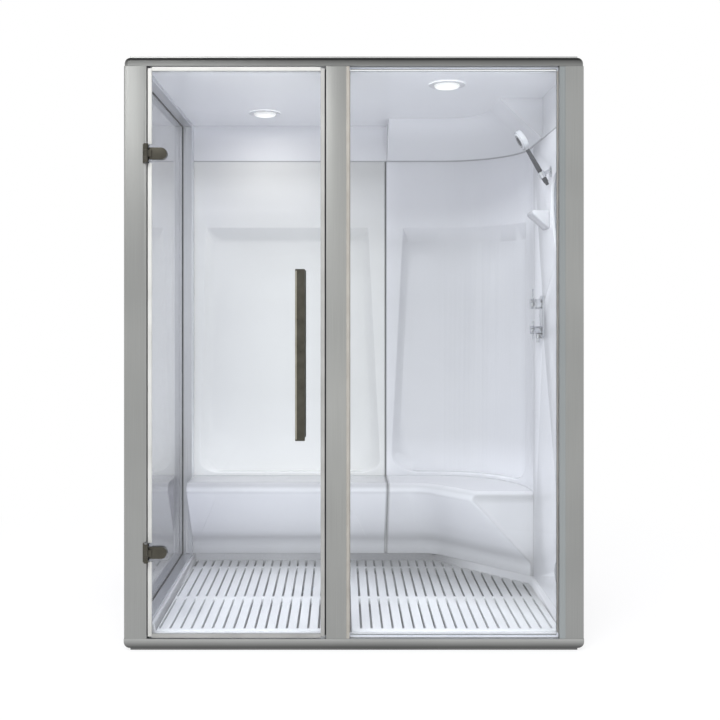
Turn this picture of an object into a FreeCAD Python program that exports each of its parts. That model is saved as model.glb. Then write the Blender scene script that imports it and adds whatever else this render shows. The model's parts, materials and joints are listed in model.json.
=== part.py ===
"""Steam cabin with a framed glass front, a glass left side and a moulded white interior.

Millimetres. +X right, +Y into the cabin, +Z up. The origin is on the floor, at the centre of the
footprint. Every place named a depth is measured back from the front face of the aluminium frame.
"""
import FreeCAD
import Part
import Sketcher
import math
import os
from types import SimpleNamespace
from FreeCAD import Rotation, Vector

# Driving sizes of the cabin
SIZES = {
    "cabin_width": 1700, "cabin_depth": 1160, "cabin_height": 2200, "overrun": 2,
    "edge_tolerance": 0.05,
    # Front frame
    "frame_depth": 60, "frame_wall": 3, "left_post_width": 84, "door_opening_width": 663,
    "mullion_width": 87, "right_post_width": 91, "sill_height": 11, "sill_inset": 22,
    "sill_setback": 10, "bottom_rail_height": 33, "top_rail_height": 34, "roof_strip_height": 6,
    "roof_strip_inset": 20, "roof_strip_setback": 2, "frame_corner_radius": 22,
    "rail_edge_radius": 18, "post_edge_radius": 6,
    # Glazing
    "groove_depth": 14, "glass_cover": 10, "glass_thickness": 8, "gasket_wall": 3,
    "gasket_back_gap": 2, "fixed_glass_setback": 26,
    # Door
    "door_setback": 4, "door_hinge_gap": 9, "door_latch_gap": 10, "door_end_gap": 8,
    "seal_wall": 2, "seal_cover": 10, "seal_reach": 5,
    # Hinges
    "hinge_low_inset": 319, "hinge_high_inset": 324, "hinge_height": 70, "hinge_axis_gap": 1,
    "hinge_axis_reach": 14, "barrel_radius": 8.5, "knuckle_height": 25, "knuckle_gap": 0.5,
    "leaf_height": 44, "leaf_length": 75, "leaf_start": 9, "leaf_thickness": 9,
    "leaf_web_length": 20, "leaf_pad": 1, "inner_plate_thickness": 6, "pin_radius": 4,
    "pin_fit": 0.05, "pin_head_radius": 6, "pin_head_height": 3, "base_plate_width": 12,
    "base_plate_gap": 2,
    "base_plate_thickness": 4, "stud_radius": 2.5, "stud_length": 14, "stud_spacing": 44,
    "stud_fit": 0.2, "nut_radius": 4.6, "nut_height": 5, "bolt_radius": 4, "bolt_fit": 0.3,
    "bolt_offset": 24, "bolt_thread_depth": 6, "bolt_head_radius": 7, "bolt_head_height": 3,
    # Pull handle
    "pull_bottom_height": 782, "pull_length": 626, "pull_width": 36, "pull_thickness": 12,
    "pull_gap": 46, "pull_edge_inset": 84, "pull_edge_radius": 2.5, "standoff_radius": 9,
    "standoff_inset": 70, "standoff_fit": 0.3,
    # Left glass side
    "side_profile_width": 86, "side_glass_inset": 35, "side_top_height": 22,
    "side_bottom_height": 90, "side_stile_reach": 65,
    # Moulded walls
    "rear_wall_inset": 50, "right_wall_inset": 50, "panel_thickness": 12, "corner_radius": 368,
    "module_tail": 52, "corner_straight": 264, "seam_gap": 2, "seat_height": 453,
    "ceiling_drop": 50, "hood_drop": 174, "hood_thickness": 6,
    "recess_depth": 36, "recess_bevel": 34, "recess_top_bevel": 73, "recess_top_drop": 320,
    "recess_seat_gap": 17, "recess_rim_radius": 8, "recess_left_radius": 60, "recess_corner_radius": 90,
    "recess_stile_margin_top": 62, "recess_stile_margin_bottom": 29,
    "recess_seam_margin_top": 84, "recess_seam_margin_bottom": 24, "recess_end_angle": 12,
    # Hood cove
    "cove_reach": 183, "cove_wall": 13, "cove_lip": 20, "cove_end_offset": 7,
    "cove_tail": 251,
    # Bench
    "seat_depth": 220, "toe_inset": 25, "bench_nose_flat": 8, "toe_height": 55,
    "bench_wall": 10, "bench_front_wall": 12, "bench_nose_radius": 32,
    "bench_toe_radius": 70, "bench_end_width": 265, "bench_end_wall": 40, "bench_foot_width": 6,
    "bench_turn_radius": 160, "bench_end_radius": 45, "bench_foot_radius": 20,
    # Raised field on the straight skirt
    "field_height": 3, "field_bevel": 6, "field_top_margin": 22, "field_foot_margin": 40,
    "field_left_top": 132, "field_left_foot": 34, "field_right_top": 190, "field_right_foot": 92,
    # Right wall
    "right_panel_gap": 14, "right_sheet_thickness": 3, "module_gap": 2, "scallop_drop": 256,
    "scallop_rise": 80, "scallop_fall": 255, "scallop_reach": 125, "scallop_run": 600,
    "scallop_setback": 360,
    "shelf_setback": 276, "shelf_length": 120, "shelf_reach": 70, "shelf_top_drop": 312,
    "shelf_lip": 14, "shelf_drop": 76,
    # Tray and floor boards
    "tray_rim_height": 81, "tray_floor_height": 22, "tray_rim_width": 12, "tray_rear_rim": 26,
    "tray_toe_gap": 2, "slat_height": 50, "board_thickness": 18, "board_edge_gap": 7,
    "slat_pitch": 40.3, "slat_gap": 9, "first_slot_inset": 113, "slot_front_margin": 24,
    "board_bar_width": 26, "middle_bar_depth": 490, "rear_bar_setback": 133,
    # Drain
    "drain_offset": 200, "drain_setback": 395, "drain_flange_radius": 55, "drain_flange_height": 2,
    "drain_grate_height": 2, "drain_bore_radius": 21, "drain_wall": 5, "drain_fit": 0.1,
    "drain_tube_length": 16, "grate_slot_width": 5, "grate_slot_pitch": 12,
    # Downlights
    "light_left_inset": 371, "light_left_setback": 312, "light_right_inset": 429,
    "light_right_setback": 190, "bezel_radius": 72.5, "bezel_height": 5, "bezel_bore_radius": 50,
    "lens_fit": 0.2, "lens_drop": 14, "lens_edge_radius": 9, "can_wall": 2, "can_height": 38,
    # Mixer
    "mixer_setback": 205, "mixer_shelf_gap": 360, "mixer_plate_length": 177, "mixer_plate_width": 62,
    "mixer_plate_thickness": 8, "mixer_plate_radius": 14, "knob_spacing": 109,
    "knob_radius": 21, "knob_length": 44, "knob_gap": 1,
    "spindle_radius": 6, "spindle_fit": 0.05, "spindle_reach": 26, "spindle_clearance": 1,
    "lever_radius": 4, "lever_length": 42, "lever_inset": 12, "cross_arm_radius": 4.5,
    "cross_arm_length": 36, "mixer_body_depth": 30, "mixer_body_width": 60,
    "mixer_body_length": 170, "inlet_radius": 10.5, "inlet_length": 20, "inlet_offset": 18,
    "inlet_bore_radius": 7, "nipple_radius": 8, "nipple_reach": 12,
    "nipple_length": 18, "nipple_boss_radius": 11, "nipple_boss_gap": 1.5,
    # Hand shower
    "shower_setback": 370, "bracket_drop": 161, "rosette_radius": 22, "rosette_thickness": 6,
    "bracket_reach": 16, "bracket_eye_radius": 7, "bracket_eye_width": 8, "bracket_pin_radius": 3,
    "bracket_pin_fit": 0.05, "cheek_gap": 0.3, "cheek_width": 6, "cup_offset": 26,
    "cup_wall": 4, "cup_height": 26, "handle_fit": 0.3, "handle_radius": 10,
    "handle_neck_radius": 8, "handle_length": 166, "handle_tail": 34, "shower_tilt": 30,
    "inlet_thread_radius": 7, "inlet_thread_length": 12, "head_radius": 41, "head_depth": 22,
    "spray_radius": 35, "spray_depth": 3,
    # Steam head
    "steam_setback": 56, "steam_height": 250, "steam_radius": 42, "steam_reach": 22,
    "steam_pipe_radius": 11.5, "steam_pipe_length": 20, "steam_spigot_radius": 10.5,
    "steam_spigot_length": 28, "steam_bore_radius": 8,
    "steam_slot_height": 8, "steam_fit": 0.3,
    # Rear frame
    "batten_width": 20, "rail_height": 40, "rear_rail_rise": 14,
}

doc = FreeCAD.newDocument("steam_cabin")
sheet = doc.addObject("Spreadsheet::Sheet", "dim")
for row, (name, value) in enumerate(SIZES.items(), 1):
    sheet.set(f"A{row}", name)
    sheet.set(f"B{row}", str(value))
    sheet.setAlias(f"B{row}", name)
doc.recompute()


class Size:
    """A length that knows its value and the formula that binds it to the sheet."""

    def __init__(self, value, text):
        self.value = float(value)
        self.text = text

    def __float__(self):
        return self.value

    def __add__(self, other):
        return Size(self.value + float(other), f"({self.text} + {text(other)})")

    def __sub__(self, other):
        return Size(self.value - float(other), f"({self.text} - {text(other)})")

    def __mul__(self, count):
        return Size(self.value * float(count), f"({self.text} * {text(count)})")

    def __truediv__(self, count):
        return Size(self.value / float(count), f"({self.text} / {text(count)})")

    def __neg__(self):
        return Size(-self.value, f"(-{self.text})")


def text(size):
    """The formula of a size, or a plain count as it is."""
    return size.text if isinstance(size, Size) else str(size)


d = SimpleNamespace(**{name: Size(sheet.get(name), f"dim.{name}") for name in SIZES})
ZERO = Size(0, "0")


def depth(distance):
    """The Y of a place that lies this far behind the front face of the frame."""
    return distance - d.cabin_depth / 2


# Places that several pieces share
left = -d.cabin_width / 2
right = d.cabin_width / 2
front = -d.cabin_depth / 2
rear = d.cabin_depth / 2
frame_back = front + d.frame_depth
post_bottom = d.sill_height + d.bottom_rail_height
post_top = d.cabin_height - d.roof_strip_height - d.top_rail_height
jamb = left + d.left_post_width
mullion_left = jamb + d.door_opening_width
mullion_right = mullion_left + d.mullion_width
right_jamb = right - d.right_post_width
door_left = jamb + d.door_hinge_gap
door_right = mullion_left - d.door_latch_gap
door_front = front + d.door_setback
door_back = door_front + d.glass_thickness
door_bottom = post_bottom + d.door_end_gap
door_top = post_top - d.door_end_gap
side_inner = left + d.side_profile_width
rear_wall = rear - d.rear_wall_inset
panel_back = rear_wall + d.panel_thickness
right_wall = right - d.right_wall_inset
right_back = right_wall + d.panel_thickness
corner_x = right_wall - d.corner_radius
corner_y = rear_wall - d.corner_radius
module_end = corner_y - d.module_tail
seam = corner_x - d.corner_straight
seam_left = seam - d.seam_gap / 2
seam_right = seam + d.seam_gap / 2
nose = rear_wall - d.seat_depth
toe = rear_wall - d.toe_inset
chin = d.seat_height - d.bench_nose_radius - d.bench_nose_flat
toe_top = d.tray_rim_height + d.toe_height
# X plus Y along the slanted front of the corner bench, at its seat and at its foot
seat_slant = right_wall - d.bench_end_width + module_end
foot_slant = right_wall - d.bench_foot_width + module_end
ceiling = d.cabin_height - d.ceiling_drop
hood_seam = ceiling - d.hood_drop
hood_top = ceiling + d.hood_thickness
recess_top = hood_seam - d.recess_top_drop
recess_bottom = d.seat_height + d.recess_seat_gap
right_panel_front = frame_back + d.right_panel_gap

nodes = []


def keep(label, solid):
    """Name a finished piece and list it for export."""
    solid.Label = label
    nodes.append(solid)
    return solid


def place(solid, x, y, z):
    """Bind the position of a piece to the sheet."""
    for axis, size in zip("xyz", (x, y, z)):
        solid.setExpression(f"Placement.Base.{axis}", text(size))


def box(label, x, y, z):
    """A block between two places on each axis."""
    solid = doc.addObject("Part::Box", label)
    for side, (low, high) in zip(("Length", "Width", "Height"), (x, y, z)):
        solid.setExpression(side, (high - low).text)
    place(solid, x[0], y[0], z[0])
    return solid


TURNS = {
    "x": Rotation(Vector(0, 1, 0), 90),
    "y": Rotation(Vector(1, 0, 0), -90),
    "z": Rotation(),
}


def rod(label, axis, centre, span, radius):
    """A cylinder along an axis, about a centre in the other two axes."""
    solid = doc.addObject("Part::Cylinder", label)
    solid.setExpression("Radius", text(radius))
    solid.setExpression("Height", (span[1] - span[0]).text)
    solid.Placement = FreeCAD.Placement(Vector(), TURNS[axis])
    spot = dict(zip([name for name in "xyz" if name != axis], centre))
    spot[axis] = span[0]
    place(solid, spot["x"], spot["y"], spot["z"])
    return solid


def fuse(label, *solids):
    """One solid from several."""
    joined = doc.addObject("Part::MultiFuse", label)
    joined.Shapes = list(solids)
    joined.Refine = True
    return joined


def group(label, *solids):
    """Separate solids that share one node."""
    joined = doc.addObject("Part::Compound", label)
    joined.Links = list(solids)
    return joined


def cut(label, base, *tools):
    """A solid less one or more tools."""
    result = doc.addObject("Part::Cut", label)
    result.Base = base
    result.Tool = tools[0] if len(tools) == 1 else fuse(f"{label}_tools", *tools)
    result.Refine = True
    return result


def moulded(label, shape):
    """A piece whose lofted form is set directly from the sizes in the sheet."""
    piece = doc.addObject("Part::Feature", label)
    piece.Shape = shape
    return piece


def sketch_on(body, label, role, offset):
    """An empty sketch parallel to one of the body's own planes."""
    sketch = body.newObject("Sketcher::SketchObject", label)
    planes = [plane for plane in body.Origin.OriginFeatures if plane.Role == role]
    sketch.AttachmentSupport = [(planes[0], "")]
    sketch.MapMode = "FlatFace"
    sketch.setExpression("AttachmentOffset.Base.z", text(offset))
    return sketch


def draw(sketch, points):
    """A closed outline whose every corner is bound to the sheet."""
    first = sketch.GeometryCount
    corners = [Vector(float(u), float(v), 0) for u, v in points]
    for start, end in zip(corners, corners[1:] + corners[:1]):
        sketch.addGeometry(Part.LineSegment(start, end), False)
    for index, (u, v) in enumerate(points):
        line = first + index
        following = first + (index + 1) % len(points)
        sketch.addConstraint(Sketcher.Constraint("Coincident", line, 2, following, 1))
        for kind, size in (("DistanceX", u), ("DistanceY", v)):
            known = Sketcher.Constraint(kind, -1, 1, line, 1, float(size))
            number = sketch.addConstraint(known)
            sketch.setExpression(f"Constraints[{number}]", text(size))


def extrusion(label, role, span, *outlines):
    """A body padded from outlines in one plane, from one place to another across it."""
    body = doc.addObject("PartDesign::Body", label)
    # The XZ plane faces the front, so its pad starts at the far end and comes forward.
    start = -span[1] if role == "XZ_Plane" else span[0]
    sketch = sketch_on(body, f"{label}_outline", role, start)
    for outline in outlines:
        draw(sketch, outline)
    pad = body.newObject("PartDesign::Pad", f"{label}_pad")
    pad.Profile = sketch
    pad.setExpression("Length", (span[1] - span[0]).text)
    doc.recompute()
    return body


def oblong(u, v):
    """The four corners of a rectangle."""
    return [(u[0], v[0]), (u[1], v[0]), (u[1], v[1]), (u[0], v[1])]


def round_edges(body, radius, axis, **where):
    """Fillet the straight edges of a body that run along an axis through the given places."""
    doc.recompute()
    tip = body.Tip
    names = []
    for number, edge in enumerate(tip.Shape.Edges, 1):
        if edge.Curve.TypeId != "Part::GeomLine":
            continue
        along = abs(getattr(edge.tangentAt(edge.FirstParameter), axis))
        spots = [abs(getattr(edge.CenterOfMass, name) - float(at)) for name, at in where.items()]
        if math.isclose(along, 1) and max(spots) < float(d.edge_tolerance):
            names.append(f"Edge{number}")
    fillet = body.newObject("PartDesign::Fillet", f"{body.Name}_round")
    fillet.Base = (tip, names)
    fillet.setExpression("Radius", radius.text)
    doc.recompute()
    return body


def front_frame():
    """Two rails across the front, with the posts and the mullion standing between them."""
    across = (left, right)
    through = (front, frame_back)
    keep("base_sill", box("base_sill", (left + d.sill_inset, right - d.sill_inset),
                          (front + d.sill_setback, frame_back), (ZERO, d.sill_height)))
    pane = (mullion_right - d.groove_depth, right_jamb + d.groove_depth)
    slot = (front + d.fixed_glass_setback - d.gasket_wall,
            front + d.fixed_glass_setback + d.glass_thickness + d.gasket_wall)

    low = (d.sill_height, post_bottom)
    bar = extrusion("bottom_rail_bar", "YZ_Plane", across, oblong(through, low))
    round_edges(bar, d.frame_corner_radius, "y", x=left, z=low[0])
    round_edges(bar, d.frame_corner_radius, "y", x=right, z=low[0])
    groove = box("bottom_rail_groove", pane, slot, (low[1] - d.groove_depth, low[1] + d.overrun))
    keep("bottom_rail", cut("bottom_rail", bar, groove))

    high = (post_top, post_top + d.top_rail_height)
    bar = extrusion("top_rail_bar", "YZ_Plane", across, oblong(through, high))
    round_edges(bar, d.frame_corner_radius, "y", x=left, z=high[1])
    round_edges(bar, d.frame_corner_radius, "y", x=right, z=high[1])
    round_edges(bar, d.rail_edge_radius, "x", y=front, z=high[1])
    groove = box("top_rail_groove", pane, slot, (high[0] - d.overrun, high[0] + d.groove_depth))
    keep("top_rail", cut("top_rail", bar, groove))
    keep("roof_strip", box("roof_strip", (left + d.roof_strip_inset, right - d.roof_strip_inset),
                           (front + d.roof_strip_setback + d.rail_edge_radius, frame_back),
                           (high[1], d.cabin_height)))

    height = (post_bottom, post_top)
    wall = d.frame_wall
    core_depth = (front + wall, frame_back - wall)
    # The left post takes the side glass in a groove in its back.
    side_slot = (left + d.side_glass_inset - d.gasket_wall,
                 left + d.side_glass_inset + d.glass_thickness + d.gasket_wall)
    groove_end = frame_back - d.groove_depth
    outline = [(left, front), (jamb, front), (jamb, frame_back), (side_slot[1], frame_back),
               (side_slot[1], groove_end), (side_slot[0], groove_end),
               (side_slot[0], frame_back), (left, frame_back)]
    core = oblong((left + wall, jamb - wall), (front + wall, groove_end - wall))
    post = extrusion("left_post_bar", "XY_Plane", height, outline, core)
    round_edges(post, d.post_edge_radius, "z", x=left, y=front)
    keep("left_post", cut("left_post", post, *stud_rods("left_post_hole", d.stud_fit)))

    outline = [(mullion_left, front), (mullion_right, front), (mullion_right, slot[0]),
               (mullion_right - d.groove_depth, slot[0]),
               (mullion_right - d.groove_depth, slot[1]), (mullion_right, slot[1]),
               (mullion_right, frame_back), (mullion_left, frame_back)]
    core = oblong((mullion_left + wall, mullion_right - d.groove_depth - wall), core_depth)
    keep("centre_mullion", extrusion("centre_mullion", "XY_Plane", height, outline, core))

    outline = [(right_jamb, front), (right, front), (right, frame_back), (right_jamb, frame_back),
               (right_jamb, slot[1]), (right_jamb + d.groove_depth, slot[1]),
               (right_jamb + d.groove_depth, slot[0]), (right_jamb, slot[0])]
    core = oblong((right_jamb + d.groove_depth + wall, right - wall), core_depth)
    post = extrusion("right_post", "XY_Plane", height, outline, core)
    round_edges(post, d.post_edge_radius, "z", x=right, y=front)
    keep("right_post", post)


def glazing(label, across, through, height, normal):
    """A pane let into grooves on its four sides, with a gasket that fills them."""
    cover = d.glass_cover
    bed = d.glass_cover + d.gasket_back_gap
    lip = d.gasket_wall

    def ring(name, margin, thick):
        grown = (across[0] - margin, across[1] + margin)
        tall = (height[0] - margin, height[1] + margin)
        deep = (through[0] - thick, through[1] + thick)
        order = (grown, deep, tall) if normal == "y" else (deep, grown, tall)
        return box(name, *order)

    pane = keep(label, ring(label, cover, ZERO))
    opening = ring(f"{label}_opening", -lip, lip + d.overrun)
    hollow = ring(f"{label}_bed", cover, ZERO)
    solid = ring(f"{label}_gasket_block", bed, lip)
    keep(f"{label}_gasket", cut(f"{label}_gasket", solid, opening, hollow))
    return pane


def fixed_pane():
    """The pane beside the door."""
    face = front + d.fixed_glass_setback
    glazing("fixed_glass", (mullion_right, right_jamb), (face, face + d.glass_thickness),
            (post_bottom, post_top), "y")


hinge_heights = (post_bottom + d.hinge_low_inset, post_top - d.hinge_high_inset)
hinge_x = jamb + d.hinge_axis_gap
hinge_y = front - d.hinge_axis_reach
plate_right = hinge_x - d.base_plate_gap
stud_x = plate_right - d.base_plate_width + d.nut_radius
leaf_end = hinge_x + d.leaf_length - d.leaf_height / 2
bolt_places = (hinge_x + d.bolt_offset, leaf_end)


def stud_rods(label, fit):
    """The two fixing studs of each hinge, or with a fit the holes for them."""
    rods = []
    for number, height in enumerate(hinge_heights):
        for side in (-1, 1):
            z = height + d.stud_spacing / 2 * side
            span = (front - d.base_plate_thickness, front - d.base_plate_thickness + d.stud_length)
            name = f"{label}_{number}_{'low' if side < 0 else 'high'}"
            rods.append(rod(name, "y", (stud_x, z), span, d.stud_radius + fit))
    return rods


def bolt_rods(label, number, span, radius):
    """The two clamp bolts of one hinge, or the holes for them."""
    height = hinge_heights[number]
    return [rod(f"{label}_{number}_{spot}", "y", (x, height), span, radius)
            for spot, x in enumerate(bolt_places)]


def leaf_plate(label, height, start, span):
    """A clamp plate with one round end."""
    half = d.leaf_height / 2
    flat = box(f"{label}_flat", (start, leaf_end), span, (height - half, height + half))
    end = rod(f"{label}_end", "y", (leaf_end, height), span, half)
    return fuse(label, flat, end)


def hinges():
    """Two barrel hinges: a base on the post, and a leaf that clamps the door glass."""
    pads = []
    bolts = []
    nuts = []
    outer = (door_front - d.leaf_pad - d.leaf_thickness, door_front - d.leaf_pad)
    inner = (door_back + d.leaf_pad, door_back + d.leaf_pad + d.inner_plate_thickness)
    start = hinge_x + d.leaf_start
    hole = d.bolt_radius + d.bolt_fit
    studs = stud_rods("hinge_stud", ZERO)
    shell = d.pin_radius + d.pin_fit
    for number, (side, height) in enumerate(zip(("lower", "upper"), hinge_heights)):
        axis = (hinge_x, hinge_y)
        half = d.hinge_height / 2
        knuckle = d.knuckle_height / 2
        pin_space = (height - half - d.overrun, height + half + d.overrun)
        bore = rod(f"{side}_base_bore", "z", axis, pin_space, shell)
        plate = box(f"{side}_base_plate", (plate_right - d.base_plate_width, plate_right),
                    (front - d.base_plate_thickness, front), (height - half, height + half))
        pieces = [plate, studs[number * 2], studs[number * 2 + 1]]
        for end, span in (("bottom", (height - half, height - knuckle - d.knuckle_gap)),
                          ("top", (height + knuckle + d.knuckle_gap, height + half))):
            pieces.append(rod(f"{side}_{end}_knuckle", "z", axis, span, d.barrel_radius))
            pieces.append(box(f"{side}_{end}_web", (hinge_x - d.barrel_radius, plate_right),
                              (hinge_y, front - d.base_plate_thickness), span))
        base = fuse(f"{side}_base_block", *pieces)
        keep(f"{side}_hinge_base", cut(f"{side}_hinge_base", base, bore))

        middle = (height - knuckle, height + knuckle)
        barrel = rod(f"{side}_leaf_knuckle", "z", axis, middle, d.barrel_radius)
        web = box(f"{side}_leaf_web", (hinge_x, hinge_x + d.leaf_web_length),
                  (hinge_y, outer[1] - d.leaf_thickness / 2), middle)
        plate = leaf_plate(f"{side}_leaf_plate", height, start, outer)
        block = fuse(f"{side}_leaf_block", barrel, web, plate)
        bore = rod(f"{side}_leaf_bore", "z", axis, pin_space, shell)
        thread = (outer[1] - d.bolt_thread_depth, outer[1] + d.overrun)
        holes = bolt_rods(f"{side}_leaf_hole", number, thread, hole)
        keep(f"{side}_hinge_leaf", cut(f"{side}_hinge_leaf", block, bore, *holes))

        plate = leaf_plate(f"{side}_inner_block", height, start + d.seal_cover, inner)
        through = (inner[0] - d.overrun, inner[1] + d.overrun)
        holes = bolt_rods(f"{side}_inner_hole", number, through, hole)
        seat = (inner[1] - d.bolt_head_height, inner[1] + d.overrun)
        holes += bolt_rods(f"{side}_inner_seat", number, seat, d.bolt_head_radius + d.bolt_fit)
        keep(f"{side}_hinge_inner_plate", cut(f"{side}_hinge_inner_plate", plate, *holes))

        shank = rod(f"{side}_pin_shank", "z", axis, (height - half, height + half), d.pin_radius)
        head = rod(f"{side}_pin_head", "z", axis,
                   (height + half, height + half + d.pin_head_height), d.pin_head_radius)
        keep(f"{side}_hinge_pin", fuse(f"{side}_hinge_pin", shank, head))

        for face, span, begin in (("front", (outer[1], door_front), start),
                                  ("back", (door_back, inner[0]), start + d.seal_cover)):
            pad = leaf_plate(f"{side}_{face}_pad_block", height, begin, span)
            deep = (span[0] - d.overrun, span[1] + d.overrun)
            holes = bolt_rods(f"{side}_{face}_pad_hole", number, deep, hole)
            pads.append(cut(f"{side}_{face}_pad", pad, *holes))
        stems = bolt_rods(f"{side}_bolt_stem", number,
                          (outer[1] - d.bolt_thread_depth, inner[1]), d.bolt_radius)
        heads = bolt_rods(f"{side}_bolt_head", number,
                          (inner[1] - d.bolt_head_height, inner[1]), d.bolt_head_radius)
        for spot, (stem, head) in enumerate(zip(stems, heads)):
            bolts.append(fuse(f"{side}_bolt_{spot}", stem, head))
    wall_back = front + d.frame_wall
    for spot, stud in enumerate(stud_rods("nut_bore", d.stud_fit)):
        height = hinge_heights[spot // 2]
        z = height + d.stud_spacing / 2 * (-1, 1)[spot % 2]
        blank = rod(f"nut_blank_{spot}", "y", (stud_x, z), (wall_back, wall_back + d.nut_height),
                    d.nut_radius)
        nuts.append(cut(f"hinge_nut_{spot}", blank, stud))
    keep("hinge_pads", group("hinge_pads", *pads))
    keep("hinge_bolts", group("hinge_bolts", *bolts))
    keep("hinge_nuts", group("hinge_nuts", *nuts))


pull_x = door_right - d.pull_edge_inset
pull_top = d.pull_bottom_height + d.pull_length
standoff_heights = (d.pull_bottom_height + d.standoff_inset, pull_top - d.standoff_inset)


def standoff_rods(label, span, radius):
    """The two tubes that carry both pull bars, or the holes for them."""
    return [rod(f"{label}_{spot}", "y", (pull_x, z), span, radius)
            for spot, z in enumerate(standoff_heights)]


def door():
    """The swinging glass with seals on its four edges and a bar handle on both faces."""
    wide = (door_left, door_right)
    tall = (door_bottom, door_top)
    thick = (door_front, door_back)
    blank = box("door_blank", wide, thick, tall)
    deep = (door_front - d.overrun, door_back + d.overrun)
    holes = standoff_rods("door_pull_hole", deep, d.standoff_radius + d.standoff_fit)
    for number in range(2):
        holes += bolt_rods("door_bolt_hole", number, deep, d.bolt_radius + d.bolt_fit)
    keep("door_glass", cut("door_glass", blank, *holes))

    lips = (door_front - d.seal_wall, door_back + d.seal_wall)
    inside = (door_left + d.seal_cover, door_right - d.seal_cover)
    edge = box("door_glass_edge", wide, thick, tall)
    strip = box("hinge_seal_strip", (door_left - d.seal_reach, inside[0]), lips, tall)
    notches = []
    for spot, height in enumerate(hinge_heights):
        half = d.hinge_height / 2
        notches.append(box(f"hinge_seal_notch_{spot}",
                           (door_left - d.seal_cover, inside[0] + d.overrun),
                           (lips[0] - d.overrun, lips[1] + d.overrun),
                           (height - half, height + half)))
    keep("door_hinge_seal", cut("door_hinge_seal", strip, edge, *notches))
    strip = box("latch_seal_strip", (inside[1], door_right + d.seal_reach), lips, tall)
    edge = box("latch_seal_edge", wide, thick, tall)
    keep("door_latch_seal", cut("door_latch_seal", strip, edge))
    strip = box("top_seal_strip", inside, lips, (door_top - d.seal_cover, door_top + d.seal_reach))
    edge = box("top_seal_edge", wide, thick, tall)
    keep("door_top_seal", cut("door_top_seal", strip, edge))
    strip = box("sweep_strip", inside, lips,
                (door_bottom - d.seal_reach, door_bottom + d.seal_cover))
    edge = box("sweep_edge", wide, thick, tall)
    keep("door_sweep", cut("door_sweep", strip, edge))

    bar_x = (pull_x - d.pull_width / 2, pull_x + d.pull_width / 2)
    bar_z = (d.pull_bottom_height, pull_top)
    outer = (door_front - d.pull_gap - d.pull_thickness, door_front - d.pull_gap)
    inner = (door_back + d.pull_gap, door_back + d.pull_gap + d.pull_thickness)
    for label, span in (("outer_pull_bar", outer), ("inner_pull_bar", inner)):
        bar = extrusion(label, "XY_Plane", bar_z, oblong(bar_x, span))
        for x in bar_x:
            for y in span:
                round_edges(bar, d.pull_edge_radius, "z", x=x, y=y)
        keep(label, bar)
    keep("pull_standoffs", group("pull_standoffs", *standoff_rods(
        "pull_standoff", (outer[1], inner[0]), d.standoff_radius)))


def glass_side():
    """The left side: channels above and below the pane, and a stile at its rear edge."""
    across = (left, side_inner)
    run = (frame_back, rear_wall - d.side_stile_reach)
    pane = (left + d.side_glass_inset, left + d.side_glass_inset + d.glass_thickness)
    slot = (pane[0] - d.gasket_wall, pane[1] + d.gasket_wall)
    low = d.side_bottom_height
    high = hood_top - d.side_top_height
    channel = [(left, ZERO), (side_inner, ZERO), (side_inner, low), (slot[1], low),
               (slot[1], low - d.groove_depth), (slot[0], low - d.groove_depth),
               (slot[0], low), (left, low)]
    wall = d.frame_wall
    core = oblong((left + wall, side_inner - wall), (wall, low - d.groove_depth - wall))
    keep("side_bottom_channel", extrusion("side_bottom_channel", "XZ_Plane", run, channel, core))
    channel = [(left, high), (slot[0], high), (slot[0], high + d.groove_depth),
               (slot[1], high + d.groove_depth), (slot[1], high), (side_inner, high),
               (side_inner, hood_top), (left, hood_top)]
    keep("side_top_channel", extrusion("side_top_channel", "XZ_Plane", run, channel))
    stile_front = run[1]
    groove_end = stile_front + d.groove_depth
    stile = [(left, stile_front), (slot[0], stile_front), (slot[0], groove_end),
             (slot[1], groove_end), (slot[1], stile_front), (side_inner, stile_front),
             (side_inner, rear), (left, rear)]
    core = oblong((left + wall, side_inner - wall), (groove_end + wall, rear - wall))
    keep("side_rear_stile", extrusion("side_rear_stile", "XY_Plane", (ZERO, hood_top), stile, core))
    glazing("side_glass", run, pane, (low, high), "x")


def numbers(*sizes):
    """Plain values of some sizes, for the lofted forms."""
    return [float(size) for size in sizes]


def level(points, height):
    """A closed flat wire at one height."""
    corners = [Vector(x, y, height) for x, y in points]
    return Part.makePolygon(corners + corners[:1])


def corner_wedge(block, edge, radius):
    """What is cut off a block along one bottom edge to leave a round corner there."""
    start, stop = (vertex.Point for vertex in edge.Vertexes)
    along = stop - start
    inward = Vector(0, 0, 1).cross(along).normalize()
    if inward.dot(block.CenterOfMass - start) < 0:
        inward = -inward
    side = next(face for face in block.ancestorsOfType(edge, Part.Face)
                if not math.isclose(abs(face.normalAt(0, 0).z), 1))
    upward = side.normalAt(0, 0).cross(along).normalize()
    if upward.z < 0:
        upward = -upward
    half_angle = upward.getAngle(inward) / 2
    reach = radius / math.tan(half_angle)
    bisector = (upward + inward).normalize()
    foot = start - along
    low, high = foot + inward * reach, foot + upward * reach
    middle = foot + bisector * (radius / math.sin(half_angle) - radius)
    outline = [Part.makeLine(high, foot), Part.makeLine(foot, low),
               Part.Arc(low, middle, high).toShape()]
    # The wedge runs past both ends of the edge by its length.
    return Part.Face(Part.Wire(outline)).extrude(along * 3)


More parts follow.
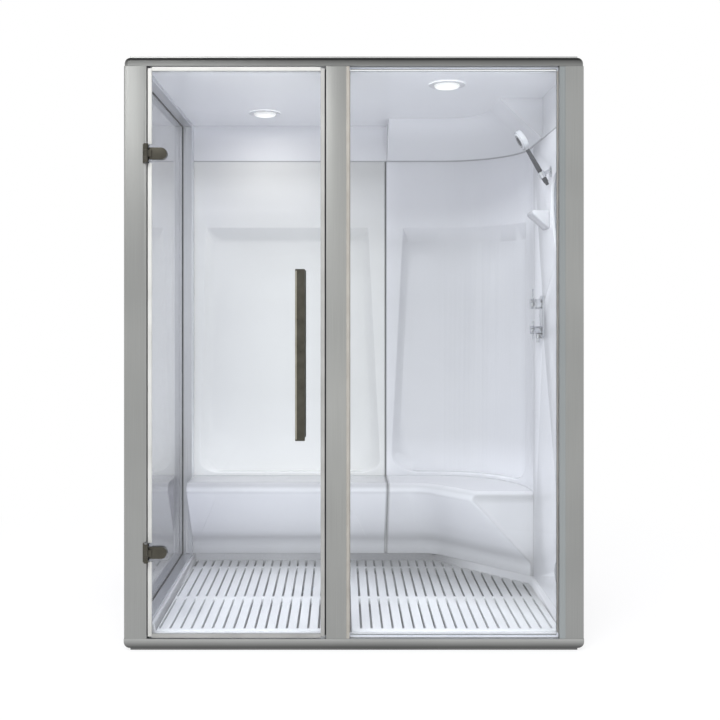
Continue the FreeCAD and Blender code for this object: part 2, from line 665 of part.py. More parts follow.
def recess_tool(section, grow, near, lid, radius):
    """A tapering block with a sloped top, which hollows a backrest or, grown, backs it up."""
    deep, rise, top, bottom = numbers(d.recess_depth, d.recess_top_bevel, recess_top,
                                      recess_bottom)
    far = deep + grow
    lid_height = top + grow + (grow - lid) * rise / deep
    low = section(near, far, bottom - grow, grow)
    brow = section(near, far, top - rise + grow, grow)
    tip = section(near, lid, lid_height, grow)
    lower = Part.makeLoft([low, brow], True, True)
    # The two short edges across the bottom become the round lower corners.
    edges = [edge for edge in lower.Edges
             if all(math.isclose(vertex.Z, bottom - grow) for vertex in edge.Vertexes)]
    edges.sort(key=lambda edge: edge.Length)
    lower = lower.cut([corner_wedge(lower, edge, radius + grow) for edge in edges[:2]])
    upper = Part.makeLoft([brow, tip], True, True)
    return lower.fuse(upper).removeSplitter()


def hollowed(panel, section, radius):
    """A panel with a backrest pressed into it, the same thickness all over, and a soft rim."""
    thick, small = numbers(d.panel_thickness, d.overrun)
    bump = recess_tool(section, thick, thick / 2, thick - small / 2, float(radius))
    hollow = recess_tool(section, 0, -small, -small / 2, float(radius))
    pressed = panel.fuse(bump).cut(hollow).removeSplitter()
    return pressed.makeFillet(float(d.recess_rim_radius), rim_edges(pressed))


def rim_edges(panel):
    """The edges of a backrest in the face of the wall, without those that end at the panel's."""
    wall, x, y, radius = numbers(rear_wall, corner_x, corner_y, d.corner_radius)
    low, high, small = numbers(d.seat_height, hood_seam, d.edge_tolerance)
    samples = 5

    def on_face(point):
        if point.x > x:
            return abs(math.hypot(point.x - x, point.y - y) - radius) < small
        return abs(point.y - wall) < small

    return [edge for edge in panel.Edges
            if all(on_face(point) for point in edge.discretize(samples))
            and all(low + small < vertex.Z < high - small for vertex in edge.Vertexes)]


def margin_at(height, below, above):
    """The width beside a backrest at one height, which changes evenly from bottom to top."""
    bottom, top, low, high = numbers(recess_bottom, recess_top, below, above)
    return low + (high - low) * (height - bottom) / (top - bottom)


def left_section(near, far, height, grow):
    """The plan of the left backrest at one height: a trapezium behind the rear wall."""
    wall, start, end = numbers(rear_wall, side_inner, seam_left)
    begin = start - grow + margin_at(height, d.recess_stile_margin_bottom,
                                     d.recess_stile_margin_top)
    stop = end + grow - margin_at(height, d.recess_seam_margin_bottom, d.recess_seam_margin_top)
    slope = float(d.recess_bevel) / float(d.recess_depth)
    return level([(begin + slope * near, wall + near), (stop - slope * near, wall + near),
                  (stop - slope * far, wall + far), (begin + slope * far, wall + far)], height)


def corner_section(near, far, height, grow):
    """The plan of the corner backrest at one height: a band that turns with the wall."""
    wall, start, x, y, radius = numbers(rear_wall, seam_right, corner_x, corner_y, d.corner_radius)
    begin = start - grow + margin_at(height, d.recess_seam_margin_bottom, d.recess_seam_margin_top)
    slope = float(d.recess_bevel) / float(d.recess_depth)
    end = math.radians(float(d.recess_end_angle)) - grow / radius

    def spot(offset, angle):
        return Vector(x + (radius + offset) * math.cos(angle),
                      y + (radius + offset) * math.sin(angle), height)

    def turn(offset):
        stop = end + slope * offset / radius
        middle = (stop + math.pi / 2) / 2
        return Part.Arc(spot(offset, math.pi / 2), spot(offset, middle), spot(offset, stop))

    outer = turn(far)
    inner = turn(near)
    edges = [
        Part.makeLine(Vector(begin + slope * near, wall + near, height),
                      Vector(begin + slope * far, wall + far, height)),
        Part.makeLine(Vector(begin + slope * far, wall + far, height), outer.StartPoint),
        outer.toShape(),
        Part.makeLine(outer.EndPoint, inner.EndPoint),
        inner.toShape(),
        Part.makeLine(inner.StartPoint, Vector(begin + slope * near, wall + near, height)),
    ]
    return Part.Wire(Part.__sortEdges__(edges))


def back_panels():
    """The two moulded backs, which meet at an upright seam."""
    low, high = numbers(d.seat_height, hood_seam)
    start, end, wall, back = numbers(side_inner, seam_left, rear_wall, panel_back)
    flat = Part.makeBox(end - start, back - wall, high - low, Vector(start, wall, low))
    keep("back_panel_left", moulded("back_panel_left", hollowed(flat, left_section,
                                                          d.recess_left_radius)))

    x, y, radius, thick = numbers(corner_x, corner_y, d.corner_radius, d.panel_thickness)
    side, edge, begin = numbers(right_wall, module_end, seam_right)
    half_share = math.sqrt(0.5)

    def path(offset):
        reach = (radius + offset) * half_share
        turn = Part.Arc(Vector(x, wall + offset, low), Vector(x + reach, y + reach, low),
                        Vector(side + offset, y, low))
        return [Part.makeLine(Vector(begin, wall + offset, low), turn.StartPoint), turn.toShape(),
                Part.makeLine(turn.EndPoint, Vector(side + offset, edge, low))]

    caps = [Part.makeLine(Vector(begin, wall, low), Vector(begin, back, low)),
            Part.makeLine(Vector(side, edge, low), Vector(side + thick, edge, low))]
    plan = Part.Face(Part.Wire(Part.__sortEdges__(path(0) + path(thick) + caps)))
    band = plan.extrude(Vector(0, 0, high - low))
    keep("back_panel_corner", moulded("back_panel_corner", hollowed(band, corner_section,
                                                              d.recess_corner_radius)))
    keep("back_seam_seal", box("back_seam_seal", (seam_left, seam_right), (rear_wall, panel_back),
                               (d.seat_height, hood_seam)))


def bench_left():
    """The straight bench: a shell with a rounded nose over an undercut skirt."""
    outline = [(panel_back, d.seat_height), (nose, d.seat_height), (nose, chin), (toe, toe_top),
               (toe, d.tray_rim_height), (panel_back, d.tray_rim_height)]
    shell = extrusion("bench_left_form", "YZ_Plane", (side_inner, seam_left), outline)
    round_edges(shell, d.bench_nose_radius, "x", y=nose, z=d.seat_height)
    round_edges(shell, d.bench_toe_radius, "x", y=toe, z=toe_top)
    wall = d.bench_front_wall
    nose_wall = wall + d.bench_nose_radius / 2
    inside = [(panel_back + d.overrun, d.seat_height - d.bench_wall),
              (nose + nose_wall, d.seat_height - d.bench_wall), (nose + nose_wall, chin),
              (toe + wall, toe_top), (toe + wall, d.tray_rim_height - d.overrun),
              (panel_back + d.overrun, d.tray_rim_height - d.overrun)]
    hollow = extrusion("bench_left_hollow", "YZ_Plane",
                       (side_inner + d.bench_wall, seam_left - d.bench_wall), inside)
    block = fuse("bench_left_block", shell, moulded("bench_left_field", skirt_field()))
    keep("bench_left", cut("bench_left", block, hollow))


def skirt_field():
    """The shallow raised field on the skirt, with slanted ends and bevelled edges."""
    begin, end, nose_y, toe_y, high, low = numbers(side_inner, seam_left, nose, toe, chin, toe_top)
    small, proud, bevel = numbers(d.overrun, d.field_height, d.field_bevel)
    fall = Vector(0, toe_y - nose_y, low - high)
    length = fall.Length
    fall.normalize()
    outward = Vector(0, fall.z, -fall.y)
    top, foot = float(d.field_top_margin), length - float(d.field_foot_margin)

    def outline(inset, rise):
        spots = [(begin + float(d.field_left_top) + inset, top + inset),
                 (end - float(d.field_right_top) - inset, top + inset),
                 (end - float(d.field_right_foot) - inset, foot - inset),
                 (begin + float(d.field_left_foot) + inset, foot - inset)]
        corners = [Vector(x, nose_y, high) + fall * run + outward * rise for x, run in spots]
        return Part.makePolygon(corners + corners[:1])

    return Part.makeLoft([outline(0, -small), outline(bevel, proud)], True, True)


def soft_plan(points, radii, height):
    """A closed flat wire at one height, with arcs in place of some of its corners."""
    corners = [Vector(x, y, height) for x, y in points]
    edges = []
    last = None
    for index, corner in enumerate(corners + corners[:1]):
        index = index % len(corners)
        arrive = (corner - corners[index - 1]).normalize()
        leave = (corners[(index + 1) % len(corners)] - corner).normalize()
        radius = radii.get(index, 0)
        half_turn = arrive.getAngle(leave) / 2
        reach = radius * math.tan(half_turn)
        if last is not None:
            edges.append(Part.makeLine(last, corner - arrive * reach))
        last = corner + leave * reach
        if radius and len(edges) < len(corners) + len(radii):
            inward = (leave - arrive).normalize()
            middle = corner + inward * (radius / math.cos(half_turn) - radius)
            edges.append(Part.Arc(corner - arrive * reach, middle, last).toShape())
    return Part.Wire(Part.__sortEdges__(edges))


def bench_block(inset, nose_inset, end_inset, lid, extra, rounds):
    """The solid under the corner seat, or its hollow with insets and no rounded corners."""
    root_share = math.sqrt(2)
    start, end, back = numbers(seam_right, right_back, panel_back)
    nose_y, toe_y, edge = numbers(nose, toe, module_end)
    seat, chin_z, rim, foot_top = numbers(d.seat_height, chin, d.tray_rim_height, toe_top)
    x, y, back_radius = numbers(corner_x, corner_y, d.corner_radius + d.panel_thickness)

    def plan(line, slant, height, front, radii):
        near = line + front
        cross = slant + front * root_share
        stop = edge + end_inset
        points = [(start + inset, back + extra), (start + inset, near), (cross - near, near),
                  (cross - stop, stop), (end - inset, stop), (end - inset, back + extra)]
        return soft_plan(points, radii, height)

    top = (nose_y, float(seat_slant), chin_z, nose_inset, rounds[0])
    base = (toe_y, float(foot_slant), foot_top, inset, rounds[1])
    slab = Part.Face(plan(*top)).extrude(Vector(0, 0, seat - lid - chin_z))
    skirt = Part.makeLoft([plan(*base), plan(*top)], True, True)
    foot = Part.Face(plan(*base)).extrude(Vector(0, 0, rim - extra - foot_top))
    if rounds[0]:
        slab = slab.makeFillet(float(d.bench_nose_radius), room_edges(slab, seat))
    block = slab.fuse([skirt, foot]).removeSplitter()
    if rounds[0]:
        block = block.makeFillet(float(d.bench_toe_radius), room_edges(block, foot_top))
    # The back of the block follows the round corner of the wall.
    tall = seat + extra
    width = back_radius + extra * 2
    square = Part.makeBox(width, width, tall + extra, Vector(x, y, -extra))
    quarter = Part.makeCylinder(back_radius - inset, tall + extra * 2, Vector(x, y, -extra))
    return block.cut(square.cut(quarter))


def room_edges(block, height):
    """The edges at one height that face the room, from the seam round to the right wall."""
    back, start, end = numbers(panel_back, seam_right, right_back)
    small = float(d.edge_tolerance)
    return [edge for edge in block.Edges
            if all(abs(vertex.Z - height) < small for vertex in edge.Vertexes)
            and edge.CenterOfMass.y < back - small
            and start + small < edge.CenterOfMass.x < end - small]


def bench_corner():
    """The corner bench: its front is cut at 45 degrees and its end stands upright."""
    turn, tip, foot_tip = numbers(d.bench_turn_radius, d.bench_end_radius, d.bench_foot_radius)
    wall, lid, small = numbers(d.bench_front_wall, d.bench_wall, d.overrun)
    nose_wall = wall + float(d.bench_nose_radius) / 2
    # The second and third corners of the plan are the ends of the slanted front.
    outer = bench_block(0, 0, 0, 0, 0, ({2: turn, 3: tip}, {2: turn, 3: foot_tip}))
    inner = bench_block(wall, nose_wall, float(d.bench_end_wall), lid, small, ({}, {}))
    keep("bench_corner", moulded("bench_corner", outer.cut(inner)))


def cove(points, start, stop):
    """A profile that runs along the rear wall, round the corner and along the right wall."""
    wall, side, x, y, radius = numbers(rear_wall, right_wall, corner_x, corner_y, d.corner_radius)

    def face(spots):
        return Part.Face(Part.makePolygon(spots + spots[:1]))

    rear_run = face([Vector(start, wall - n, z) for n, z in points])
    rear_run = rear_run.extrude(Vector(x - start, 0, 0))
    bend = face([Vector(x + radius - n, y, z) for n, z in points])
    bend = bend.revolve(Vector(x, y, 0), Vector(0, 0, 1), 90)
    right_run = face([Vector(side - n, stop, z) for n, z in points])
    right_run = right_run.extrude(Vector(0, y - stop, 0))
    return rear_run.fuse([bend, right_run]).removeSplitter()


def lights():
    """The centre of each downlight."""
    return (("left", side_inner + d.light_left_inset, rear_wall - d.light_left_setback),
            ("right", right_wall - d.light_right_inset, frame_back + d.light_right_setback))


def hood():
    """The moulded ceiling, its drops along two walls and the sloped cove in the corner."""
    low, high, thick, reach, wall, lip, small = numbers(
        hood_seam, ceiling, d.panel_thickness, d.cove_reach, d.cove_wall,
        d.cove_lip, d.overrun)
    start = float(seam + d.cove_end_offset)
    stop = float(corner_y - d.cove_tail)
    slope = reach / (high - low)
    outside = [(-thick, low), (0, low), (reach, high), (-thick, high)]
    inside = [(-thick - small, low + lip), (lip * slope - wall, low + lip), (reach - wall, high),
              (-thick - small, high)]
    outer = moulded("hood_cove", cove(outside, start, stop))
    inner = moulded("hood_cove_hollow", cove(inside, start + thick, stop + thick))
    drop = (hood_seam, ceiling)
    roof = box("hood_roof", (side_inner, right_back), (frame_back, panel_back),
               (ceiling, hood_top))
    rear_drop = box("hood_rear_drop", (side_inner, corner_x), (rear_wall, panel_back), drop)
    right_drop = box("hood_right_drop", (right_wall, right_back), (frame_back, corner_y), drop)
    block = fuse("hood_block", roof, rear_drop, right_drop, outer)
    can = d.bezel_bore_radius + d.can_wall + d.lens_fit
    through = (ceiling - d.overrun, hood_top + d.overrun)
    holes = [rod(f"hood_{side}_hole", "z", (x, y), through, can) for side, x, y in lights()]
    keep("hood", cut("hood", block, inner, *holes))


def lens(x, y, radius):
    """An opal lens with a rounded lower edge, half in the ring and half in the can."""
    drop, edge_radius, level_z = numbers(d.lens_drop, d.lens_edge_radius, ceiling)
    blank = Part.makeCylinder(radius, drop * 2, Vector(x, y, level_z - drop))
    rim = [edge for edge in blank.Edges if math.isclose(edge.CenterOfMass.z, level_z - drop)]
    return blank.makeFillet(edge_radius, rim)


def downlights():
    """Each light is a ring under the ceiling, a lens in the ring and a can above."""
    rings = []
    lenses = []
    cans = []
    bore = d.bezel_bore_radius
    for side, x, y in lights():
        disc = rod(f"{side}_bezel_disc", "z", (x, y), (ceiling - d.bezel_height, ceiling),
                   d.bezel_radius)
        hole = rod(f"{side}_bezel_hole", "z", (x, y),
                   (ceiling - d.bezel_height - d.overrun, ceiling + d.overrun), bore)
        rings.append(cut(f"{side}_bezel", disc, hole))
        lenses.append(moulded(f"{side}_lens", lens(*numbers(x, y, bore - d.lens_fit))))
        shell = rod(f"{side}_can_shell", "z", (x, y), (ceiling, ceiling + d.can_height),
                    bore + d.can_wall)
        inside = rod(f"{side}_can_inside", "z", (x, y),
                     (ceiling - d.overrun, ceiling + d.can_height - d.can_wall), bore)
        cans.append(cut(f"{side}_can", shell, inside))
    keep("downlight_bezels", group("downlight_bezels", *rings))
    keep("downlight_lenses", group("downlight_lenses", *lenses))
    keep("downlight_cans", group("downlight_cans", *cans))


steam_y = right_panel_front + d.steam_setback
mixer_y = module_end - d.mixer_setback
mixer_z = hood_seam - d.shelf_top_drop - d.shelf_drop - d.mixer_shelf_gap
knob_heights = (mixer_z - d.knob_spacing / 2, mixer_z + d.knob_spacing / 2)
plate_face = right_wall - d.mixer_plate_thickness
sheet_back = right_back + d.right_sheet_thickness


def wall_holes(label, span):
    """Holes for the mixer spindles and the steam pipe."""
    fit = d.spindle_radius + d.spindle_clearance
    holes = [rod(f"{label}_spindle_{spot}", "x", (mixer_y, z), span, fit)
             for spot, z in enumerate(knob_heights)]
    holes.append(rod(f"{label}_steam", "x", (steam_y, d.steam_height), span,
                     d.steam_pipe_radius + d.steam_fit))
    return holes


def scallop(past):
    """The bay in the front edge of the panel: a short curve above and a long one below."""
    middle = hood_seam - d.scallop_drop
    deep = module_end - d.scallop_setback
    open_end = deep - d.scallop_run
    rise = d.scallop_rise
    top_curve = rod("scallop_top_curve", "x", (deep - rise, middle), past, rise)
    top_bay = box("scallop_top_bay", past, (open_end, deep - rise), (middle, middle + rise))
    bow = (d.scallop_fall * d.scallop_fall + d.scallop_reach * d.scallop_reach) / (
        d.scallop_reach * 2)
    curve = rod("scallop_low_curve", "x", (deep - bow, middle), past, bow)
    bounds = box("scallop_low_bounds", past, (open_end, deep), (middle - d.scallop_fall, middle))
    low_bay = doc.addObject("Part::Common", "scallop_low_bay")
    low_bay.Base = curve
    low_bay.Tool = bounds
    return [top_curve, top_bay, low_bay]


def right_side():
    """The flat right wall: a moulded panel with a scalloped front edge on an aluminium sheet."""
    blank = box("right_panel_blank", (right_wall, right_back),
                (right_panel_front, module_end - d.module_gap), (d.tray_rim_height, hood_seam))
    past = (right_wall - d.overrun, right_back + d.overrun)
    cuts = scallop(past) + wall_holes("panel", past)
    keep("right_wall_panel", cut("right_wall_panel", blank, *cuts))
    plain = box("right_sheet_blank", (right_back, sheet_back), (frame_back, module_end),
                (ZERO, hood_top))
    past = (right_back - d.overrun, sheet_back + d.overrun)
    keep("right_wall_sheet", cut("right_wall_sheet", plain, *wall_holes("sheet", past)))

    middle = module_end - d.shelf_setback
    front_x = right_wall - d.shelf_reach
    top = hood_seam - d.shelf_top_drop
    profile = [(right_wall, top), (front_x, top), (front_x, top - d.shelf_lip),
               (right_wall, top - d.shelf_drop)]
    shelf = extrusion("soap_shelf", "XZ_Plane",
                      (middle - d.shelf_length / 2, middle + d.shelf_length / 2), profile)
    keep("soap_shelf", shelf)


def tray():
    """The shower tray: a basin whose rear edge follows the foot of the bench."""
    inner_left = side_inner + d.tray_rim_width
    inner_right = right_wall - d.tray_rim_width
    inner_front = frame_back + d.tray_rim_width
    inner_rear = toe - d.tray_toe_gap
    slant = foot_slant - d.tray_toe_gap * 2
    basin = [(inner_left, inner_front), (inner_right, inner_front),
             (inner_right, slant - inner_right), (slant - inner_rear, inner_rear),
             (inner_left, inner_rear)]
    outer_rear = toe + d.tray_rear_rim
    outer_slant = foot_slant + d.tray_rear_rim * 3 / 2
    outline = [(side_inner, frame_back), (right_back, frame_back),
               (right_back, outer_slant - right_back), (outer_slant - outer_rear, outer_rear),
               (side_inner, outer_rear)]
    block = extrusion("tray_block", "XY_Plane", (ZERO, d.tray_rim_height), outline)
    hollow = extrusion("tray_basin", "XY_Plane",
                       (d.tray_floor_height, d.tray_rim_height + d.overrun), basin)
    centre = (-d.drain_offset, toe - d.drain_setback)
    seat = d.tray_floor_height - d.drain_flange_height - d.drain_grate_height
    flange = rod("tray_drain_seat", "z", centre, (seat, d.tray_floor_height + d.overrun),
                 d.drain_flange_radius + d.drain_fit)
    tube = d.drain_bore_radius + d.drain_wall
    hole = rod("tray_drain_hole", "z", centre, (-d.overrun, seat + d.overrun), tube + d.drain_fit)
    keep("shower_tray", cut("shower_tray", block, hollow, flange, hole))

    rim = rod("drain_flange", "z", centre, (seat, seat + d.drain_flange_height),
              d.drain_flange_radius)
    pipe = rod("drain_tube", "z", centre,
               (seat - d.drain_tube_length, seat + d.drain_flange_height), tube)
    bore = rod("drain_bore", "z", centre, (-d.overrun, d.tray_floor_height), d.drain_bore_radius)
    keep("drain_body", cut("drain_body", fuse("drain_blank", rim, pipe), bore))
    plate = rod("grate_plate", "z", centre, (seat + d.drain_flange_height, d.tray_floor_height),
                d.drain_flange_radius)
    slots = []
    for spot in (-1, 0, 1):
        x = centre[0] + d.grate_slot_pitch * spot
        slots.append(box(f"grate_slot_{spot + 1}",
                         (x - d.grate_slot_width / 2, x + d.grate_slot_width / 2),
                         (centre[1] - d.drain_bore_radius, centre[1] + d.drain_bore_radius),
                         (seat, d.tray_floor_height + d.overrun)))
    keep("drain_grate", cut("drain_grate", plate, *slots))
    floor_boards(inner_left, inner_right, inner_front, inner_rear, slant)


def floor_boards(inner_left, inner_right, inner_front, inner_rear, slant):
    """Two slotted boards that lie in the tray and meet at one of the slots."""
    gap = d.board_edge_gap
    begin = inner_left + gap
    end = inner_right - gap
    near = inner_front + gap
    far = inner_rear - gap
    bevel = slant - gap * 3 / 2
    first = left + d.first_slot_inset
    slots = int((float(end) - float(first)) // float(d.slat_pitch))
    meeting = slots // 2
    middle = first + d.slat_pitch * meeting
    half = d.slat_gap / 2
    plain = [(begin, near), (middle - half, near), (middle - half, far), (begin, far)]
    board("floor_board_left", plain, first, meeting, (begin, middle - half), (begin, middle - half))
    cornered = [(middle + half, near), (end, near), (end, bevel - end), (bevel - far, far),
                (middle + half, far)]
    rear_bar = toe - d.rear_bar_setback + d.board_bar_width
    board("floor_board_right", cornered, middle + d.slat_pitch, slots - meeting,
          (middle + half, end), (middle + half, bevel - rear_bar))


def board(label, outline, first, count, wide, rear_wide):
    """One board: a plate, three bars that carry it and a row of slots through it."""
    top = d.slat_height
    under = top - d.board_thickness
    body = extrusion(label, "XY_Plane", (under, top), outline)
    near = outline[0][1]
    bars = [near + d.board_bar_width / 2, depth(d.middle_bar_depth), toe - d.rear_bar_setback]
    half = d.board_bar_width / 2
    sketch = sketch_on(body, f"{label}_bars", "XY_Plane", d.tray_floor_height)
    for centre, reach in zip(bars, (wide, wide, rear_wide)):
        draw(sketch, oblong(reach, (centre - half, centre + half)))
    pad = body.newObject("PartDesign::Pad", f"{label}_feet")
    pad.Profile = sketch
    pad.setExpression("Length", (under - d.tray_floor_height).text)
    doc.recompute()

    sketch = sketch_on(body, f"{label}_slots", "XY_Plane", top)
    side = (first - d.slat_gap / 2, first + d.slat_gap / 2)
    far = toe + d.overrun
    stops = [near + d.slot_front_margin, bars[1] - half, bars[1] + half, bars[2] - half,
             bars[2] + half, far]
    for begin, end in zip(stops[::2], stops[1::2]):
        draw(sketch, oblong(side, (begin, end)))
    pocket = body.newObject("PartDesign::Pocket", f"{label}_slot")
    pocket.Profile = sketch
    pocket.setExpression("Length", (d.board_thickness + d.overrun).text)
    doc.recompute()
    pattern = body.newObject("PartDesign::LinearPattern", f"{label}_pattern")
    pattern.Originals = [pocket]
    pattern.Direction = (sketch, ["H_Axis"])
    pattern.setExpression("Length", (d.slat_pitch * (count - 1)).text)
    pattern.Occurrences = count
    body.Tip = pattern
    doc.recompute()
    keep(label, body)


def mixer():
    """The mixer: a valve body behind the wall, a plate on it and two turning handles."""
    half_wide = d.mixer_plate_width / 2
    half_long = d.mixer_plate_length / 2
    outline = oblong((mixer_y - half_wide, mixer_y + half_wide),
                     (mixer_z - half_long, mixer_z + half_long))
    plate = extrusion("mixer_plate_blank", "YZ_Plane", (plate_face, right_wall), outline)
    for y in (mixer_y - half_wide, mixer_y + half_wide):
        for z in (mixer_z - half_long, mixer_z + half_long):
            round_edges(plate, d.mixer_plate_radius, "x", y=y, z=z)
    hub_radius = d.knob_radius - d.cross_arm_radius
    bottom = mixer_z - half_long
    elbow_x = plate_face - d.nipple_reach
    round_end = d.nipple_boss_radius
    sides = (mixer_y - round_end, mixer_y + round_end)
    # The boss stays clear of the turning hub above it.
    boss_top = knob_heights[0] - hub_radius - d.nipple_boss_gap
    boss = box("hose_boss", (elbow_x, plate_face + d.overrun), sides, (bottom, boss_top))
    boss_end = rod("hose_boss_end", "z", (elbow_x, mixer_y), (bottom, boss_top), round_end)
    nipple = rod("hose_nipple", "z", (elbow_x, mixer_y),
                 (bottom - d.nipple_length, bottom + d.overrun), d.nipple_radius)
    fit = d.spindle_radius + d.spindle_clearance
    past = (plate_face - d.overrun, right_wall + d.overrun)
    holes = [rod(f"mixer_plate_hole_{spot}", "x", (mixer_y, z), past, fit)
             for spot, z in enumerate(knob_heights)]
    block = fuse("mixer_plate_block", plate, boss, boss_end, nipple)
    keep("mixer_plate", cut("mixer_plate", block, *holes))

    half = d.mixer_body_length / 2
    wide = d.mixer_body_width / 2
    valve = box("mixer_block", (sheet_back, sheet_back + d.mixer_body_depth),
                (mixer_y - wide, mixer_y + wide),
                (mixer_z - half, mixer_z + half))
    knob_back = plate_face - d.knob_gap
    pieces = [valve]
    for spot, z in enumerate(knob_heights):
        span = (knob_back - d.spindle_reach, sheet_back + d.overrun)
        pieces.append(rod(f"mixer_spindle_{spot}", "x", (mixer_y, z), span, d.spindle_radius))
    bores = []
    foot = mixer_z - half
    middle = sheet_back + d.mixer_body_depth / 2
    for side, name in ((-1, "hot"), (1, "cold")):
        centre = (middle, mixer_y + d.inlet_offset * side)
        pieces.append(rod(f"{name}_inlet", "z", centre, (foot - d.inlet_length, foot + d.overrun),
                          d.inlet_radius))
        bores.append(rod(f"{name}_bore", "z", centre,
                         (foot - d.inlet_length - d.overrun, mixer_z), d.inlet_bore_radius))
    keep("mixer_body", cut("mixer_body", fuse("mixer_body_block", *pieces), *bores))

    front_x = knob_back - d.knob_length
    reach = (knob_back - d.spindle_reach - d.spindle_clearance, knob_back + d.overrun)
    shell = d.spindle_radius + d.spindle_fit
    z = knob_heights[1]
    knob = rod("lever_knob", "x", (mixer_y, z), (front_x, knob_back), d.knob_radius)
    pin = rod("lever_pin", "z", (front_x + d.lever_inset, mixer_y),
              (z, z + d.knob_radius + d.lever_length), d.lever_radius)
    bore = rod("lever_bore", "x", (mixer_y, z), reach, shell)
    keep("lever_handle", cut("lever_handle", fuse("lever_block", knob, pin), bore))
    z = knob_heights[0]
    hub = rod("cross_hub", "x", (mixer_y, z), (front_x, knob_back), hub_radius)
    arm = d.cross_arm_length
    arm_x = front_x + d.lever_inset
    upright = rod("cross_upright", "z", (arm_x, mixer_y), (z - arm, z + arm), d.cross_arm_radius)
    level_arm = rod("cross_level", "y", (arm_x, z), (mixer_y - arm, mixer_y + arm),
                    d.cross_arm_radius)
    bore = rod("cross_bore", "x", (mixer_y, z), reach, shell)
    keep("cross_handle", cut("cross_handle", fuse("cross_block", hub, upright, level_arm), bore))


shower_y = module_end - d.shower_setback
bracket_z = hood_seam - d.bracket_drop
pivot_x = right_wall - d.bracket_reach


def leaning(label, shape):
    """A form modelled about the bracket pivot, leaning with the hand shower."""
    piece = moulded(label, shape)
    tilt = Rotation(Vector(0, 1, 0), -float(d.shower_tilt))
    pivot = Vector(*numbers(pivot_x, shower_y, bracket_z))
    piece.Placement = FreeCAD.Placement(pivot, tilt)
    return keep(label, piece)


def hand_shower():
    """The wall bracket, its tilting cradle and the handset that rests in it."""
    height = bracket_z
    half = d.bracket_eye_width / 2
    rosette = rod("bracket_rosette", "x", (shower_y, height),
                  (right_wall - d.rosette_thickness, right_wall), d.rosette_radius)
    arm = box("bracket_arm", (pivot_x, right_wall), (shower_y - half, shower_y + half),
              (height - half, height + half))
    eye = rod("bracket_eye", "y", (pivot_x, height), (shower_y - half, shower_y + half),
              d.bracket_eye_radius)
    bore = rod("bracket_bore", "y", (pivot_x, height),
               (shower_y - half - d.overrun, shower_y + half + d.overrun),
               d.bracket_pin_radius + d.bracket_pin_fit)
    keep("bracket_base", cut("bracket_base", fuse("bracket_block", rosette, arm, eye), bore))

    axis = -float(d.cup_offset)
    grip, fit, wall, tall = numbers(d.handle_radius, d.handle_fit, d.cup_wall, d.cup_height)
    eye_half, gap, cheek, eye_radius = numbers(half, d.cheek_gap, d.cheek_width,
                                               d.bracket_eye_radius)
    up = Vector(0, 0, 1)
    cup = Part.makeCylinder(grip + fit + wall, tall, Vector(axis, 0, -tall / 2), up)
    bore = Part.makeCylinder(grip + fit, tall * 2, Vector(axis, 0, -tall), up)
    inner = eye_half + gap
    pieces = []
    for side in (-1, 1):
        near = min(inner * side, (inner + cheek) * side)
        pieces.append(Part.makeBox(-axis - wall, cheek, eye_radius * 2,
                                   Vector(axis + wall, near, -eye_radius)))
        pieces.append(Part.makeCylinder(eye_radius, cheek, Vector(0, near, 0), Vector(0, 1, 0)))
    pieces.append(Part.makeCylinder(float(d.bracket_pin_radius), (inner + cheek) * 2,
                                    Vector(0, -inner - cheek, 0), Vector(0, 1, 0)))
    leaning("bracket_cradle", cup.fuse(pieces).cut(bore).removeSplitter())

    tail, length, neck = numbers(d.handle_tail, d.handle_length, d.handle_neck_radius)
    thread, thread_length = numbers(d.inlet_thread_radius, d.inlet_thread_length)
    head, deep, spray, spray_deep = numbers(d.head_radius, d.head_depth, d.spray_radius,
                                            d.spray_depth)
    straight = tail + tall
    grip_rod = Part.makeCylinder(grip, straight, Vector(axis, 0, -tail), up)
    taper = Part.makeCone(grip, neck, length - straight, Vector(axis, 0, straight - tail), up)
    inlet = Part.makeCylinder(thread, thread_length, Vector(axis, 0, -tail - thread_length), up)
    centre = length - tail + head - deep / 2
    back = Vector(axis + deep / 2, 0, centre)
    facing = Vector(-1, 0, 0)
    disc = Part.makeCylinder(head, deep, back, facing)
    disc = disc.makeFillet(deep / 3, [edge for edge in disc.Edges if edge.CenterOfMass.x > axis
                                      and len(edge.Vertexes) == 1])
    leaning("handset", grip_rod.fuse([taper, inlet, disc]).removeSplitter())
    spray_back = Vector(axis - deep / 2, 0, centre)
    leaning("spray_face", Part.makeCylinder(spray, spray_deep, spray_back, facing))


def steam_head():
    """The steam outlet low on the right wall, with its supply pipe behind."""
    centre = (steam_y, d.steam_height)
    face = right_wall - d.steam_reach
    dome = rod("steam_dome", "x", centre, (face, right_wall), d.steam_radius)
    pipe = rod("steam_pipe", "x", centre, (right_wall - d.overrun, right_wall + d.steam_pipe_length),
               d.steam_pipe_radius)
    pipe_end = right_wall + d.steam_pipe_length
    spigot_end = pipe_end + d.steam_spigot_length
    spigot = rod("steam_spigot", "x", centre, (pipe_end - d.overrun, spigot_end),
                 d.steam_spigot_radius)
    bore = rod("steam_bore", "x", centre, (face + d.steam_reach / 2, spigot_end + d.overrun),
               d.steam_bore_radius)
    slot = box("steam_slot", (face + d.steam_reach / 3, face + d.steam_reach * 2 / 3),
               (steam_y - d.steam_radius / 2, steam_y + d.steam_radius / 2),
               (d.steam_height - d.steam_radius - d.overrun, d.steam_height + d.steam_slot_height / 2))
    keep("steam_head", cut("steam_head", fuse("steam_block", dome, pipe, spigot), bore, slot))


